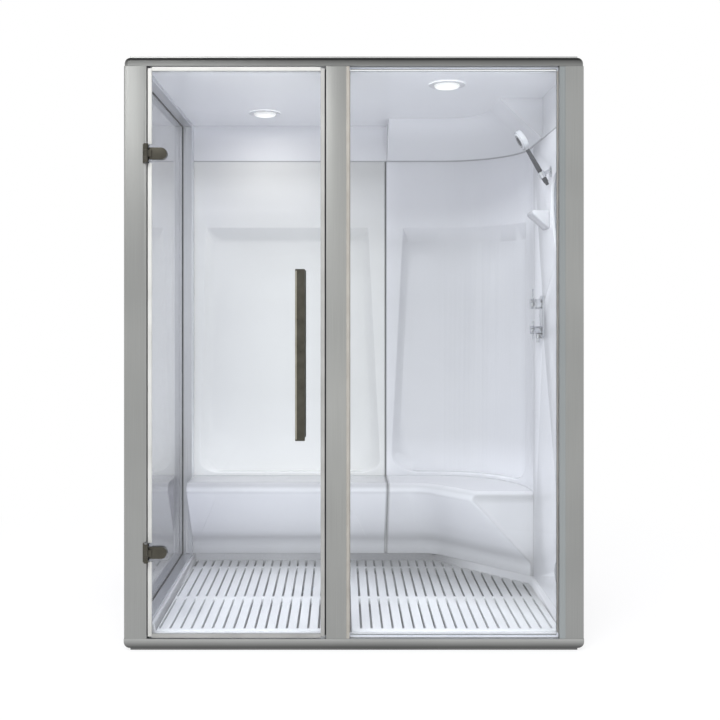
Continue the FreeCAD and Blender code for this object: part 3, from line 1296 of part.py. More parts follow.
def rear_frame():
    """The hidden timber frame behind the mouldings: posts, rails between them and a batten."""
    back = (panel_back, rear)
    side = (right_back, right)
    wide = (side_inner, right_back)
    rail = d.rail_height
    upper = hood_seam + d.rear_rail_rise
    half = d.batten_width / 2
    between = (module_end + rail, panel_back)
    pieces = [
        box("rear_corner_post", side, back, (ZERO, hood_top)),
        box("right_middle_post", side, (module_end, module_end + rail), (ZERO, hood_top)),
        box("rear_seat_rail", wide, back, (d.seat_height - rail, d.seat_height)),
        box("rear_top_rail", wide, back, (upper, upper + rail)),
        box("rear_batten", (seam - half, seam + half), back, (d.seat_height, upper)),
        box("right_top_rail", side, between, (hood_top - rail, hood_top)),
        box("right_foot_rail", side, between, (ZERO, rail)),
    ]
    keep("rear_frame", group("rear_frame", *pieces))


def check_and_export():
    """Refuse to write anything unless every object built and every piece is sound."""
    doc.recompute()
    for item in doc.Objects:
        if "Invalid" in item.State or "Error" in item.State:
            raise RuntimeError(f"{item.Label} failed: {item.State}")
    for solid in nodes:
        if solid.Shape.isNull() or not solid.Shape.isValid():
            raise RuntimeError(f"{solid.Label} has no sound shape")
    os.makedirs("parts", exist_ok=True)
    for solid in nodes:
        solid.Shape.exportStep(f"parts/{solid.Label}.step")
        print(f"{solid.Label}: {len(solid.Shape.Solids)} solids, {solid.Shape.Volume:.0f} mm3")
    print(f"{len(nodes)} pieces")


front_frame()
fixed_pane()
hinges()
door()
glass_side()
back_panels()
bench_left()
bench_corner()
hood()
downlights()
right_side()
tray()
mixer()
hand_shower()
steam_head()
rear_frame()
check_and_export()
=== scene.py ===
# %% [markdown]
# # A walk-in steam room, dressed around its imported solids
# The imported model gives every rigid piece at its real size. This lesson adds what a photograph
# of the room shows on top of that: finishes, softened edges, seals, small fittings and light.

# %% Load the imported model
import json
import math

import bpy
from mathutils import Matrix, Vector


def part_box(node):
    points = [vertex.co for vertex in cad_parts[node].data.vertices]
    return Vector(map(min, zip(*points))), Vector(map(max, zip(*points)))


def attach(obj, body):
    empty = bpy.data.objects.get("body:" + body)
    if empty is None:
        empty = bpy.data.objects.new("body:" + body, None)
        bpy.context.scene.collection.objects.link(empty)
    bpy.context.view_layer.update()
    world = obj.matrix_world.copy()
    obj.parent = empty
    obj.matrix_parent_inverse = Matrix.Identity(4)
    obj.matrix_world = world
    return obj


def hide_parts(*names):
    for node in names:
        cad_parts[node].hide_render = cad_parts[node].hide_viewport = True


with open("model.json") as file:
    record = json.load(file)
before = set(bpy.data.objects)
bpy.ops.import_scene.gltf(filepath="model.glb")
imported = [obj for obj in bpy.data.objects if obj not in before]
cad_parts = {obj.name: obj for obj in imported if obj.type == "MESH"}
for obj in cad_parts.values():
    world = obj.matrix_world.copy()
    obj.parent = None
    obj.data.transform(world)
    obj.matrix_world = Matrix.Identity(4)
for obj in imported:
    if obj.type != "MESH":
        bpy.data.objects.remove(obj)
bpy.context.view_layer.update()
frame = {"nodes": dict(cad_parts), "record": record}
nodes = frame["nodes"]

# %% [markdown]
# ## Camera
# The photograph was taken from straight in front, a little left of the middle and at chest
# height. A level camera with a lens shift keeps the posts upright, as an architect's lens does.

# %% Place the camera
camera_data = bpy.data.cameras.new("photo_camera")
camera_data.sensor_width = 36.0
camera_data.lens = 47.4
camera_data.shift_x = 0.025
camera_data.shift_y = -0.0722
camera = bpy.data.objects.new("photo_camera", camera_data)
camera.location = (-0.044, -4.080, 1.266)
camera.rotation_euler = (math.radians(90), 0, 0)
bpy.context.scene.collection.objects.link(camera)
bpy.context.scene.camera = camera
bpy.context.scene.view_settings.view_transform = "Standard"
print(f"camera {camera_data.lens} mm at {tuple(camera.location)}")

# %% [markdown]
# ## Node helpers
# Every finish below is a small node tree. A few helpers keep the cells short: they add a node and
# set its inputs, start a material, and do the sums and mixes that most finishes need.


# %% Add nodes and start a material
def set_socket(tree, socket, value):
    """Link a socket to another one, or else set its value."""
    if isinstance(value, bpy.types.NodeSocket):
        tree.links.new(value, socket)
    else:
        socket.default_value = value


def set_inputs(tree, node, **inputs):
    """Set or link a node's inputs by name."""
    for name, value in inputs.items():
        set_socket(tree, node.inputs[name.replace("_", " ")], value)
    return node


def add_node(tree, kind, **inputs):
    """Add a shader node with its inputs set or linked by name."""
    return set_inputs(tree, tree.nodes.new(kind), **inputs)


def start_material(name):
    """A new material, its node tree and its Principled BSDF."""
    material = bpy.data.materials.new(name)
    material.use_nodes = True
    tree = material.node_tree
    return material, tree, tree.nodes["Principled BSDF"]


print("node helpers ready")


# %% Sums and measures
def math_node(tree, operation, *parts):
    """A sum, product or limit of two or three numbers."""
    node = tree.nodes.new("ShaderNodeMath")
    node.operation = operation
    for socket, part in zip(node.inputs, parts):
        set_socket(tree, socket, part)
    return node.outputs[0]


def vector_node(tree, operation, *parts):
    """The outputs of a Vector Math node on one or two vectors."""
    node = tree.nodes.new("ShaderNodeVectorMath")
    node.operation = operation
    for socket, part in zip(node.inputs, parts):
        set_socket(tree, socket, part)
    return node.outputs


def span(tree, value, low, high, to_low, to_high):
    """A number that runs between two limits as another goes from low to high."""
    node = add_node(tree, "ShaderNodeMapRange", Value=value, From_Min=low, From_Max=high,
                    To_Min=to_low, To_Max=to_high)
    return node.outputs["Result"]


def ramp(tree, value, low, high, low_colour, high_colour):
    """A colour that runs from one tone to another as a value goes from low to high."""
    node = tree.nodes.new("ShaderNodeMapRange")
    node.data_type = "FLOAT_VECTOR"
    vector_inputs = node.inputs[6:11]
    limits = (value, (low,) * 3, (high,) * 3, low_colour, high_colour)
    for socket, limit in zip(vector_inputs, limits):
        set_socket(tree, socket, limit)
    return node.outputs[1]


print("sums and measures ready")


# %% Mixes and bumps
def mixed(tree, share, first, second):
    """A colour between two others, by a share."""
    node = add_node(tree, "ShaderNodeMix", Factor=share)
    node.data_type = "RGBA"
    for socket, colour in zip(node.inputs[6:8], (first, second)):
        set_socket(tree, socket, colour)
    return node.outputs[2]


def mix_shaders(tree, share, first, second, output):
    """Two shaders mixed by a share, as what an output shows."""
    mix = add_node(tree, "ShaderNodeMixShader", Fac=share)
    tree.links.new(first.outputs[0], mix.inputs[1])
    tree.links.new(second.outputs[0], mix.inputs[2])
    tree.links.new(mix.outputs[0], output.inputs["Surface"])


def add_bump(tree, shader, height, strength, distance, **normal):
    """A bump on a shader, over softened edges where their normal is given."""
    bump = add_node(tree, "ShaderNodeBump", Strength=strength, Distance=distance, Height=height,
                    **normal)
    tree.links.new(bump.outputs[0], shader.inputs["Normal"])


print("mixes and bumps ready")

# %% [markdown]
# ## Effects that several finishes share
# Brushing, cloudy variation and softened edges turn up on most surfaces. Each one is a node
# group, made once and placed in a material with that material's own values.


# %% Start a shared effect
def start_group(name, inputs, outputs):
    """A shader node group with named sockets, its tree and its two ends."""
    tree = bpy.data.node_groups.new(name, "ShaderNodeTree")
    for label, kind, value in inputs:
        socket = tree.interface.new_socket(label, in_out="INPUT", socket_type=kind)
        if value is not None:
            socket.default_value = value
    for label, kind in outputs:
        tree.interface.new_socket(label, in_out="OUTPUT", socket_type=kind)
    start = tree.nodes.new("NodeGroupInput")
    end = tree.nodes.new("NodeGroupOutput")
    return tree, start.outputs, end.inputs


def place_group(tree, group, **inputs):
    """Put a shared effect into a material."""
    node = tree.nodes.new("ShaderNodeGroup")
    node.node_tree = group
    return set_inputs(tree, node, **inputs).outputs


def hand_out_noise(tree, end, **inputs):
    """A noise that a shared effect hands out."""
    noise = add_node(tree, "ShaderNodeTexNoise", **inputs)
    tree.links.new(noise.outputs["Fac"], end)


print("shared effects can be made")

# %% Brushed lines
# The pattern is stretched along Z, so a material turns its coordinates to set the direction.
brushed_lines, given, result = start_group(
    "brushed_lines",
    [("Vector", "NodeSocketVector", None), ("Fineness", "NodeSocketFloat", 900.0),
     ("Length", "NodeSocketFloat", 3.0)],
    [("Streak", "NodeSocketFloat"), ("Band", "NodeSocketFloat")])
fine = add_node(brushed_lines, "ShaderNodeCombineXYZ", X=given["Fineness"], Y=given["Fineness"],
                Z=given["Length"])
stretched = vector_node(brushed_lines, "MULTIPLY", given["Vector"], fine.outputs[0])
hand_out_noise(brushed_lines, result["Streak"], Vector=stretched[0], Scale=1.0, Detail=3.0,
               Roughness=0.6)
hand_out_noise(brushed_lines, result["Band"], Vector=given["Vector"], Scale=2.2, Detail=2.0,
               Roughness=0.45)
print("brushed lines ready")

# %% Cloudy variation and a fine skin
surface_marks, given, result = start_group(
    "surface_marks",
    [("Vector", "NodeSocketVector", None), ("Cloud Size", "NodeSocketFloat", 2.0),
     ("Skin Size", "NodeSocketFloat", 220.0)],
    [("Cloud", "NodeSocketFloat"), ("Skin", "NodeSocketFloat"), ("Wave", "NodeSocketFloat")])
hand_out_noise(surface_marks, result["Cloud"], Vector=given["Vector"], Scale=given["Cloud Size"],
               Detail=4.0, Roughness=0.55)
hand_out_noise(surface_marks, result["Skin"], Vector=given["Vector"], Scale=given["Skin Size"],
               Detail=2.0, Roughness=0.5)
hand_out_noise(surface_marks, result["Wave"], Vector=given["Vector"], Scale=7.0, Detail=1.0,
               Roughness=0.4)
CLOUDS = (0.3, 0.7)
print(f"most of a cloud's values lie in {CLOUDS}")

# %% Softened edges
# A Bevel node rounds the shading at an edge. How far it turns the normal shows where edges are.
soft_edges, given, result = start_group(
    "soft_edges", [("Radius", "NodeSocketFloat", 0.002)],
    [("Normal", "NodeSocketVector"), ("Edge", "NodeSocketFloat")])
rounded = add_node(soft_edges, "ShaderNodeBevel", Radius=given["Radius"])
soft_edges.links.new(rounded.outputs[0], result["Normal"])
flat = add_node(soft_edges, "ShaderNodeNewGeometry").outputs["True Normal"]
agreement = vector_node(soft_edges, "DOT_PRODUCT", rounded.outputs[0], flat)["Value"]
soft_edges.links.new(span(soft_edges, agreement, 0.98, 0.75, 0.0, 1.0), result["Edge"])
print("softened edges ready")

# %% [markdown]
# ## Brushed aluminium
# The posts, rails and channels are extrusions with a satin grain along their length. The grain
# is a noise drawn out in one direction; it moves the tone, the gloss and a very fine bump. Turning
# the coordinates gives uprights, crosswise rails and front-to-back channels.
# Some pieces are darker towards one end or face. Those shares of the tone were tuned against the
# photograph, and stand in for dark surroundings that a plain studio doesn't have to mirror.


# %% A piece's own coordinates
def object_vector(tree, turn=(0, 0, 0)):
    """The piece's own coordinates, turned if a pattern needs another direction."""
    place = tree.nodes.new("ShaderNodeTexCoord").outputs["Object"]
    if not any(turn):
        return place
    mapping = add_node(tree, "ShaderNodeMapping", Vector=place,
                       Rotation=tuple(math.radians(angle) for angle in turn))
    return mapping.outputs["Vector"]


print("object coordinates ready")

# %% Tones along one direction
ACROSS, INWARD, UP = (1, 0, 0), (0, 1, 0), (0, 0, 1)


# Scaling a tone along a direction is how the pieces below get painted light and painted shade.
def shaded(tree, base, shades):
    """A tone scaled along some directions, by the shares given at places there."""
    for direction, places in shades:
        along = vector_node(tree, "DOT_PRODUCT", object_vector(tree), direction)["Value"]
        start, before = places[0][1], 1.0
        for (low, _), (high, share) in zip(places, places[1:]):
            step = tree.nodes.new("ShaderNodeVectorMath")
            step.operation = "SCALE"
            tree.links.new(base, step.inputs[0])
            tree.links.new(span(tree, along, low, high, start, share / before),
                           step.inputs["Scale"])
            base, start, before = step.outputs[0], 1.0, share
    return base


print("tones can run along a direction")

# %% One recipe for brushed aluminium
WORN_EDGE = (0.62, 0.63, 0.62, 1)
STREAKS = (0.25, 0.75)
BAND_SHARE, STREAK_SHARE = 0.6, 0.4


def brushed_aluminium(name, turn, dark, light, shades=(), wear=0.35):
    """A satin extrusion finish with its grain along one direction and paler edges.

    A shade is a direction, and places along it with the share of the tone at each. Wear is how
    far the edges go pale.
    """
    material, tree, shader = start_material(name)
    lines = place_group(tree, brushed_lines, Vector=object_vector(tree, turn))
    edges = place_group(tree, soft_edges, Radius=0.0015)
    tone = math_node(tree, "MULTIPLY_ADD", lines["Band"], BAND_SHARE,
                     span(tree, lines["Streak"], *STREAKS, 0.0, STREAK_SHARE))
    base = shaded(tree, ramp(tree, tone, *STREAKS, dark, light), shades)
    worn = mixed(tree, span(tree, edges["Edge"], 0, 1, 0, wear), base, WORN_EDGE)
    set_inputs(tree, shader, Base_Color=worn, Metallic=1.0,
               Roughness=span(tree, lines["Streak"], 0.2, 0.8, 0.30, 0.46))
    add_bump(tree, shader, lines["Streak"], strength=0.08, distance=0.0004,
             Normal=edges["Normal"])
    return material


print("aluminium recipe ready")

# %% Aluminium for each kind of profile
UPRIGHT, CROSSWISE, FRONT_TO_BACK = (0, 0, 0), (0, 90, 0), (90, 0, 0)
# All these profiles are one aluminium. The mullion, the stile, the side channels and the roof strip
# get paler tones than the posts, and the sill a darker one: painted reflection and painted shade.
FRAME_TONES = (0.300, 0.305, 0.298), (0.385, 0.390, 0.380)
OUTER_FACE = (ACROSS, [(-0.849, 0.5), (-0.846, 1.0)])
REAR_FACE = (INWARD, [(0.574, 1.0), (0.578, 0.6)])
upright_aluminium = brushed_aluminium("upright_aluminium", UPRIGHT, *FRAME_TONES)
right_post_aluminium = brushed_aluminium(
    "right_post_aluminium", UPRIGHT, *FRAME_TONES,
    [(UP, [(0.30, 0.91), (1.10, 1.02), (1.90, 1.15)])])
mullion_aluminium = brushed_aluminium(
    "mullion_aluminium", UPRIGHT, (0.350, 0.355, 0.345), (0.450, 0.455, 0.440),
    [(UP, [(0.20, 0.85), (0.90, 1.0)])])
crosswise_aluminium = brushed_aluminium(
    "crosswise_aluminium", CROSSWISE, (0.50, 0.51, 0.50), (0.64, 0.65, 0.64))
top_rail_aluminium = brushed_aluminium(
    "top_rail_aluminium", CROSSWISE, *FRAME_TONES, [(UP, [(2.160, 0.78), (2.178, 0.40)])], wear=0)
low_rail_aluminium = brushed_aluminium(
    "low_rail_aluminium", CROSSWISE, *FRAME_TONES, [(UP, [(0.014, 0.30), (0.040, 1.2)])], wear=0)
sill_aluminium = brushed_aluminium(
    "sill_aluminium", CROSSWISE, (0.110, 0.110, 0.110), (0.170, 0.170, 0.170))
inward_aluminium = brushed_aluminium(
    "inward_aluminium", FRONT_TO_BACK, (0.64, 0.65, 0.69), (0.74, 0.75, 0.79), [OUTER_FACE])
stile_aluminium = brushed_aluminium(
    "stile_aluminium", UPRIGHT, (0.78, 0.79, 0.83), (0.91, 0.92, 0.95), [OUTER_FACE, REAR_FACE])
sheet_aluminium = brushed_aluminium(
    "sheet_aluminium", UPRIGHT, (0.42, 0.44, 0.48), (0.52, 0.54, 0.58))
bead_aluminium = brushed_aluminium(
    "bead_aluminium", UPRIGHT, (0.30, 0.325, 0.330), (0.37, 0.395, 0.400))
print("aluminium ready")

# %% [markdown]
# ## Glass
# Toughened panes are clear, with a faint wave and a trace of dried water. Light on its way to
# the interior passes straight through, which a shadow ray tests with Light Path; without that
# every pane would cast the shadow of a solid sheet. The left side is a grey pane with a harder
# reflection: seen from the door it mirrors the bench. Its tint is deeper at the foot and the head,
# as the photograph shows it; that deeper tint is painted shade.


# %% Clear glass
def clear_glass(name, tint, bend, shades=()):
    """A pane of one tint and one strength of reflection, which lets light through."""
    material, tree, shader = start_material(name)
    marks = place_group(tree, surface_marks, Vector=object_vector(tree), Cloud_Size=1.4)
    set_inputs(tree, shader, Base_Color=(*tint, 1), Transmission_Weight=1.0, IOR=bend,
               Roughness=span(tree, marks["Cloud"], 0.62, 0.85, 0.0, 0.035))
    if shades:
        even = add_node(tree, "ShaderNodeCombineXYZ", X=tint[0], Y=tint[1], Z=tint[2])
        set_inputs(tree, shader, Base_Color=shaded(tree, even.outputs[0], shades))
    add_bump(tree, shader, marks["Cloud"], strength=0.015, distance=0.0005)
    path = tree.nodes.new("ShaderNodeLightPath").outputs
    light = math_node(tree, "MAXIMUM", path["Is Shadow Ray"], path["Is Diffuse Ray"])
    through = add_node(tree, "ShaderNodeBsdfTransparent", Color=(*tint, 1))
    mix_shaders(tree, light, shader, through, tree.nodes["Material Output"])
    return material


pane_glass = clear_glass("pane_glass", (0.97, 0.985, 0.99), 1.45)
# The side pane's tint is painted darker at its foot and head: painted shade.
side_pane = clear_glass(
    "side_pane", (0.60, 0.61, 0.66), 1.75,
    [(UP, [(0.55, 0.44), (0.69, 0.76), (0.90, 0.95), (1.50, 0.93), (1.85, 0.62)])])
print("glass ready")

# %% [markdown]
# ## Moulded acrylic, boards, rubber and fittings
# The interior is vacuum-formed acrylic: white with a cool cast, warmer behind the door, glossy,
# with the slight wave of a formed sheet. The duckboards are matt. Seals are milky, gaskets dark,
# and the small fittings are chrome with faint water marks.
# The large mouldings and the boards shade off along their height, width or depth. These shares
# were tuned against the photograph too. They are painted shade and painted light: shade under the
# bench, at the seams and in the corner, and light, that plain studio light doesn't give. Each
# moulding also has a base tone of its own, paler or darker than the others, which is painted light
# and shade as well.


# %% One recipe for coloured solids
def solid_finish(name, dark, light, gloss, metal=0.0, cloud=2.0, skin=220.0, wave_bump=0.0,
                 skin_bump=0.05, edge_radius=0.002, edge_tone=None, edge_share=0.6, shades=()):
    """A finish whose tone and gloss drift a little, with a skin bump and softened edges."""
    material, tree, shader = start_material(name)
    marks = place_group(tree, surface_marks, Vector=object_vector(tree), Cloud_Size=cloud,
                        Skin_Size=skin)
    edges = place_group(tree, soft_edges, Radius=edge_radius)
    base = shaded(tree, ramp(tree, marks["Cloud"], *CLOUDS, dark, light), shades)
    if edge_tone:
        base = mixed(tree, span(tree, edges["Edge"], 0, 1, 0, edge_share), base, (*edge_tone, 1))
    height = math_node(tree, "MULTIPLY_ADD", marks["Wave"], wave_bump,
                       span(tree, marks["Skin"], 0, 1, 0, skin_bump))
    set_inputs(tree, shader, Base_Color=base, Metallic=metal,
               Roughness=span(tree, marks["Cloud"], *CLOUDS, *gloss))
    add_bump(tree, shader, height, strength=0.5, distance=0.001,
             Normal=edges["Normal"])
    return material


print("solid recipe ready")

# %% Walls and hood
# All mouldings are one white acrylic. The right wall, the hood and the bench get paler tones than the
# left panel, and the corner panel and the shelf darker ones: painted light and painted shade.
ACRYLIC = {"gloss": (0.10, 0.17), "wave_bump": 1.2, "skin_bump": 0.02, "edge_radius": 0.006}
left_acrylic = solid_finish(
    "left_acrylic", (0.800, 0.798, 0.785), (0.842, 0.840, 0.822), **ACRYLIC,
    shades=[(UP, [(0.49, 1.10), (0.56, 1.05), (0.66, 0.97), (0.85, 0.89), (1.30, 0.84),
                  (1.45, 0.83), (1.62, 0.91), (1.74, 1.06), (1.84, 0.99), (1.92, 0.86)]),
            (ACROSS, [(-0.80, 1.08), (-0.50, 1.0), (-0.20, 0.99), (0.0, 0.90), (0.10, 0.88),
                      (0.158, 0.86), (0.164, 0.5)])])
corner_acrylic = solid_finish(
    "corner_acrylic", (0.730, 0.730, 0.757), (0.770, 0.770, 0.792), **ACRYLIC,
    shades=[(UP, [(0.50, 1.13), (0.56, 1.04), (0.64, 0.92), (0.75, 0.89), (1.10, 0.83),
                  (1.30, 0.80), (1.58, 0.85), (1.66, 1.02), (1.80, 1.10)]),
            (ACROSS, [(0.172, 0.6), (0.176, 0.94), (0.25, 0.87), (0.50, 0.87), (0.62, 0.91),
                      (0.70, 0.96), (0.76, 1.0), (0.79, 1.06)])])
side_acrylic = solid_finish(
    "side_acrylic", (0.900, 0.900, 0.925), (0.925, 0.925, 0.945), **ACRYLIC,
    shades=[(UP, [(0.35, 1.05), (0.60, 1.0), (0.80, 0.94), (1.50, 0.95), (1.80, 1.02)])])
# Painted shade darkens the hood's bottom edge at the seam and its outer top; painted light brightens
# its left end.
hood_acrylic = solid_finish(
    "hood_acrylic", (0.880, 0.880, 0.905), (0.910, 0.910, 0.930), **ACRYLIC,
    shades=[(UP, [(1.979, 0.45), (1.983, 0.87), (2.06, 0.89), (2.12, 1.0), (2.153, 1.0),
                  (2.155, 0.66)]),
            (ACROSS, [(-0.76, 1.06), (-0.58, 1.0)])])
print("walls and hood ready")

# %% Bench, shelf, tray and boards
SLANT = (0.55, 1, 0)
BENCH_TONES = (0.840, 0.840, 0.865), (0.880, 0.880, 0.900)
# Up the bench the tone is painted darker at the toe and on the seat and lighter on the front between:
# painted shade and painted light. Across it the seam is painted dark as shade.
BENCH_FRONT = [(0.09, 0.62), (0.16, 0.80), (0.20, 1.02), (0.26, 1.09), (0.40, 1.10), (0.428, 0.85)]
LEFT_SEAT = [(0.44, 0.66), (0.4525, 0.72)]
CORNER_SEAT = [(0.44, 0.72), (0.4525, 0.87)]
BOARD = {"gloss": (0.42, 0.55), "skin": 420.0, "skin_bump": 0.25, "edge_radius": 0.0025}
bench_acrylic = solid_finish(
    "bench_acrylic", *BENCH_TONES, **ACRYLIC,
    shades=[(UP, BENCH_FRONT + LEFT_SEAT), (ACROSS, [(0.156, 1.0), (0.163, 0.55)])])
corner_bench = solid_finish(
    "corner_bench", *BENCH_TONES, **ACRYLIC,
    shades=[(UP, BENCH_FRONT + CORNER_SEAT),
            (ACROSS, [(0.173, 0.55), (0.180, 0.95), (0.28, 1.0)]),
            (INWARD, [(0.112, 0.66), (0.118, 1.0)])])
shelf_acrylic = solid_finish(
    "shelf_acrylic", (0.620, 0.620, 0.645), (0.660, 0.660, 0.680), **ACRYLIC)
# The tray and the boards are painted darker towards the back and the corner: painted shadow under the
# bench.
tray_acrylic = solid_finish(
    "tray_acrylic", (0.780, 0.780, 0.805), (0.820, 0.820, 0.840), **ACRYLIC,
    shades=[(INWARD, [(0.30, 1.0), (0.46, 0.50)]), (SLANT, [(0.36, 1.0), (0.52, 0.70)])])
left_board = solid_finish(
    "left_board", (0.87, 0.88, 0.90), (0.91, 0.915, 0.925), **BOARD,
    shades=[(INWARD, [(0.05, 1.0), (0.25, 0.85), (0.42, 0.56)])])
right_board = solid_finish(
    "right_board", (0.85, 0.86, 0.88), (0.89, 0.895, 0.905), **BOARD,
    shades=[(SLANT, [(0.05, 1.0), (0.25, 0.74), (0.45, 0.44)])])
print("bench, shelf, tray and boards ready")

# %% Seals and gaskets
SEAL = {"gloss": (0.30, 0.45), "cloud": 9.0, "edge_radius": 0.001}
RUBBER = {"cloud": 12.0, "skin": 900.0, "skin_bump": 0.2}
milky_seal = solid_finish("milky_seal", (0.40, 0.40, 0.375), (0.48, 0.48, 0.455), **SEAL)
# The latch seal and the sweep are the milky seal painted darker: painted shade.
seal_painted_shade = solid_finish("seal_painted_shade", (0.25, 0.25, 0.235), (0.31, 0.31, 0.295), **SEAL)
brown_bead = solid_finish("brown_bead", (0.25, 0.235, 0.205), (0.32, 0.305, 0.27), (0.45, 0.60),
                          **RUBBER, edge_radius=0.0005)
dark_rubber = solid_finish("dark_rubber", (0.045, 0.048, 0.050), (0.075, 0.078, 0.080),
                           (0.55, 0.75), **RUBBER)
seam_rubber = solid_finish("seam_rubber", (0.030, 0.032, 0.036), (0.050, 0.052, 0.058),
                           (0.50, 0.70), **RUBBER)
nozzle_rubber = solid_finish("nozzle_rubber", (0.10, 0.10, 0.11), (0.16, 0.16, 0.17), (0.4, 0.6),
                             cloud=60.0, skin=900.0)
print("seals and gaskets ready")

# %% Chrome, bronze and plain metals
bright_chrome = solid_finish("bright_chrome", (0.74, 0.75, 0.77), (0.86, 0.87, 0.88), (0.05, 0.13),
                             metal=1.0, cloud=14.0, skin_bump=0.01, edge_radius=0.0012)
# The mixer's plate and handles have their edges painted almost black: painted shade and dark
# reflection along them.
chrome_painted_dark_edges = solid_finish("chrome_painted_dark_edges", (0.60, 0.61, 0.64), (0.76, 0.77, 0.79), (0.06, 0.14),
                            metal=1.0, cloud=14.0, skin_bump=0.01, edge_radius=0.0034,
                            edge_tone=(0.02, 0.02, 0.03), edge_share=0.95)
chromed_plastic = solid_finish("chromed_plastic", (0.60, 0.61, 0.64), (0.74, 0.75, 0.78),
                               (0.12, 0.22), metal=0.85, cloud=16.0, skin_bump=0.02,
                               edge_radius=0.001)
BRONZE = {"metal": 0.75, "cloud": 22.0, "skin": 700.0, "skin_bump": 0.08}
dark_bronze = solid_finish("dark_bronze", (0.050, 0.047, 0.036), (0.080, 0.075, 0.060),
                           (0.26, 0.40), **BRONZE, edge_radius=0.0012, edge_tone=(0.18, 0.17, 0.14))
light_bronze = solid_finish("light_bronze", (0.26, 0.24, 0.19), (0.34, 0.32, 0.26), (0.28, 0.42),
                            **BRONZE, edge_radius=0.0006)
plain_tin = solid_finish("plain_tin", (0.44, 0.44, 0.45), (0.58, 0.58, 0.59), (0.30, 0.45),
                         metal=1.0, cloud=10.0)
plain_steel = solid_finish("plain_steel", (0.36, 0.36, 0.37), (0.50, 0.50, 0.51), (0.28, 0.42),
                           metal=1.0, cloud=30.0, skin=600.0)
cast_brass = solid_finish("cast_brass", (0.48, 0.34, 0.13), (0.60, 0.45, 0.20), (0.28, 0.45),
                          metal=1.0, cloud=18.0, skin=500.0, skin_bump=0.3)
print("metals ready")

# %% [markdown]
# ## Timber, the pane's gasket and the lit lens
# The hidden battens are sawn softwood: rings drawn out along the grain. The fixed pane's silicone
# gasket changes tone round the pane. The downlight lens is opal and glows, brighter in its middle,
# where the lamp sits. The ring round it is white and no lamp: the glow on its upright edge is a
# painted highlight, and the greyer face below it is painted shade.

# %% Sawn timber
sawn_timber, tree, shader = start_material("sawn_timber")
lines = place_group(tree, brushed_lines, Vector=object_vector(tree), Fineness=160.0, Length=4.0)
set_inputs(tree, shader,
           Base_Color=ramp(tree, lines["Streak"], *STREAKS, (0.36, 0.24, 0.13), (0.60, 0.45, 0.28)),
           Roughness=span(tree, lines["Streak"], 0.2, 0.8, 0.6, 0.85))
add_bump(tree, shader, lines["Streak"], strength=0.4, distance=0.0008)
print("timber ready")

# %% Glazing gasket
# Daylight behind the pane makes the silicone pale along the head and the foot; between the pane
# and the uprights it stays a brown grey.
GASKET_HEAD, GASKET_FOOT = (2.146, 2.150), (0.062, 0.058)
glazing_gasket, tree, shader = start_material("glazing_gasket")
place = object_vector(tree)
marks = place_group(tree, surface_marks, Vector=place, Cloud_Size=12.0, Skin_Size=900.0)
height = add_node(tree, "ShaderNodeSeparateXYZ", Vector=place).outputs["Z"]
level = math_node(tree, "MAXIMUM", span(tree, height, *GASKET_HEAD, 0, 1),
                  span(tree, height, *GASKET_FOOT, 0, 1))
brown = ramp(tree, marks["Cloud"], *CLOUDS, (0.24, 0.23, 0.21), (0.31, 0.30, 0.27))
pale = ramp(tree, marks["Cloud"], *CLOUDS, (0.74, 0.77, 0.83), (0.84, 0.86, 0.90))
set_inputs(tree, shader, Base_Color=mixed(tree, level, brown, pale),
           Roughness=span(tree, marks["Skin"], 0.3, 0.7, 0.4, 0.6))
add_bump(tree, shader, marks["Skin"], strength=0.3, distance=0.0004)
print("glazing gasket ready")

# %% Glowing lens
LIGHTS = ((-0.393, 0.218), (0.371, -0.330))
LENS_LOW = 2.136
LENS_GLOW = (0.022, 0.050)
lit_lens, tree, shader = start_material("lit_lens")
marks = place_group(tree, surface_marks, Vector=object_vector(tree), Cloud_Size=40.0)
reaches = [vector_node(tree, "DISTANCE", object_vector(tree), (x, y, LENS_LOW))["Value"]
           for x, y in LIGHTS]
set_inputs(tree, shader, Roughness=0.25, Emission_Strength=0.60,
           Base_Color=ramp(tree, marks["Cloud"], *CLOUDS, (0.90, 0.89, 0.86), (0.98, 0.97, 0.95)),
           Emission_Color=ramp(tree, math_node(tree, "MINIMUM", *reaches), *LENS_GLOW,
                               (1.0, 0.985, 0.96), (0.42, 0.415, 0.41)))
print(f"{len(reaches)} lenses glow")

# %% Ring round the lens: painted highlight and painted shade
RING_EDGE = (2.1455, 2.1475)
ring_painted_highlight_and_shade, tree, shader = start_material("ring_painted_highlight_and_shade")
place = object_vector(tree)
marks = place_group(tree, surface_marks, Vector=place, Cloud_Size=20.0)
height = add_node(tree, "ShaderNodeSeparateXYZ", Vector=place).outputs["Z"]
# The ring is no lamp: the glow on its upright edge is a painted highlight, and the greyer face below
# it is painted shade.
set_inputs(tree, shader, Emission_Strength=0.45,
           Base_Color=ramp(tree, height, *RING_EDGE, (0.70, 0.70, 0.72), (0.93, 0.93, 0.94)),
           Emission_Color=ramp(tree, height, *RING_EDGE, (0.0, 0.0, 0.0), (1.0, 1.0, 1.0)),
           Roughness=span(tree, marks["Cloud"], *CLOUDS, 0.2, 0.3))
print("opal ring ready")

# %% [markdown]
# ## The hand shower
# Its head is chromed and its handle has a dark grip. One material does both: the distance along
# the handle, measured in the piece's own coordinates, switches from one tone to the other. The
# spray plate is pale with a dark middle, which its distance from the centre decides.

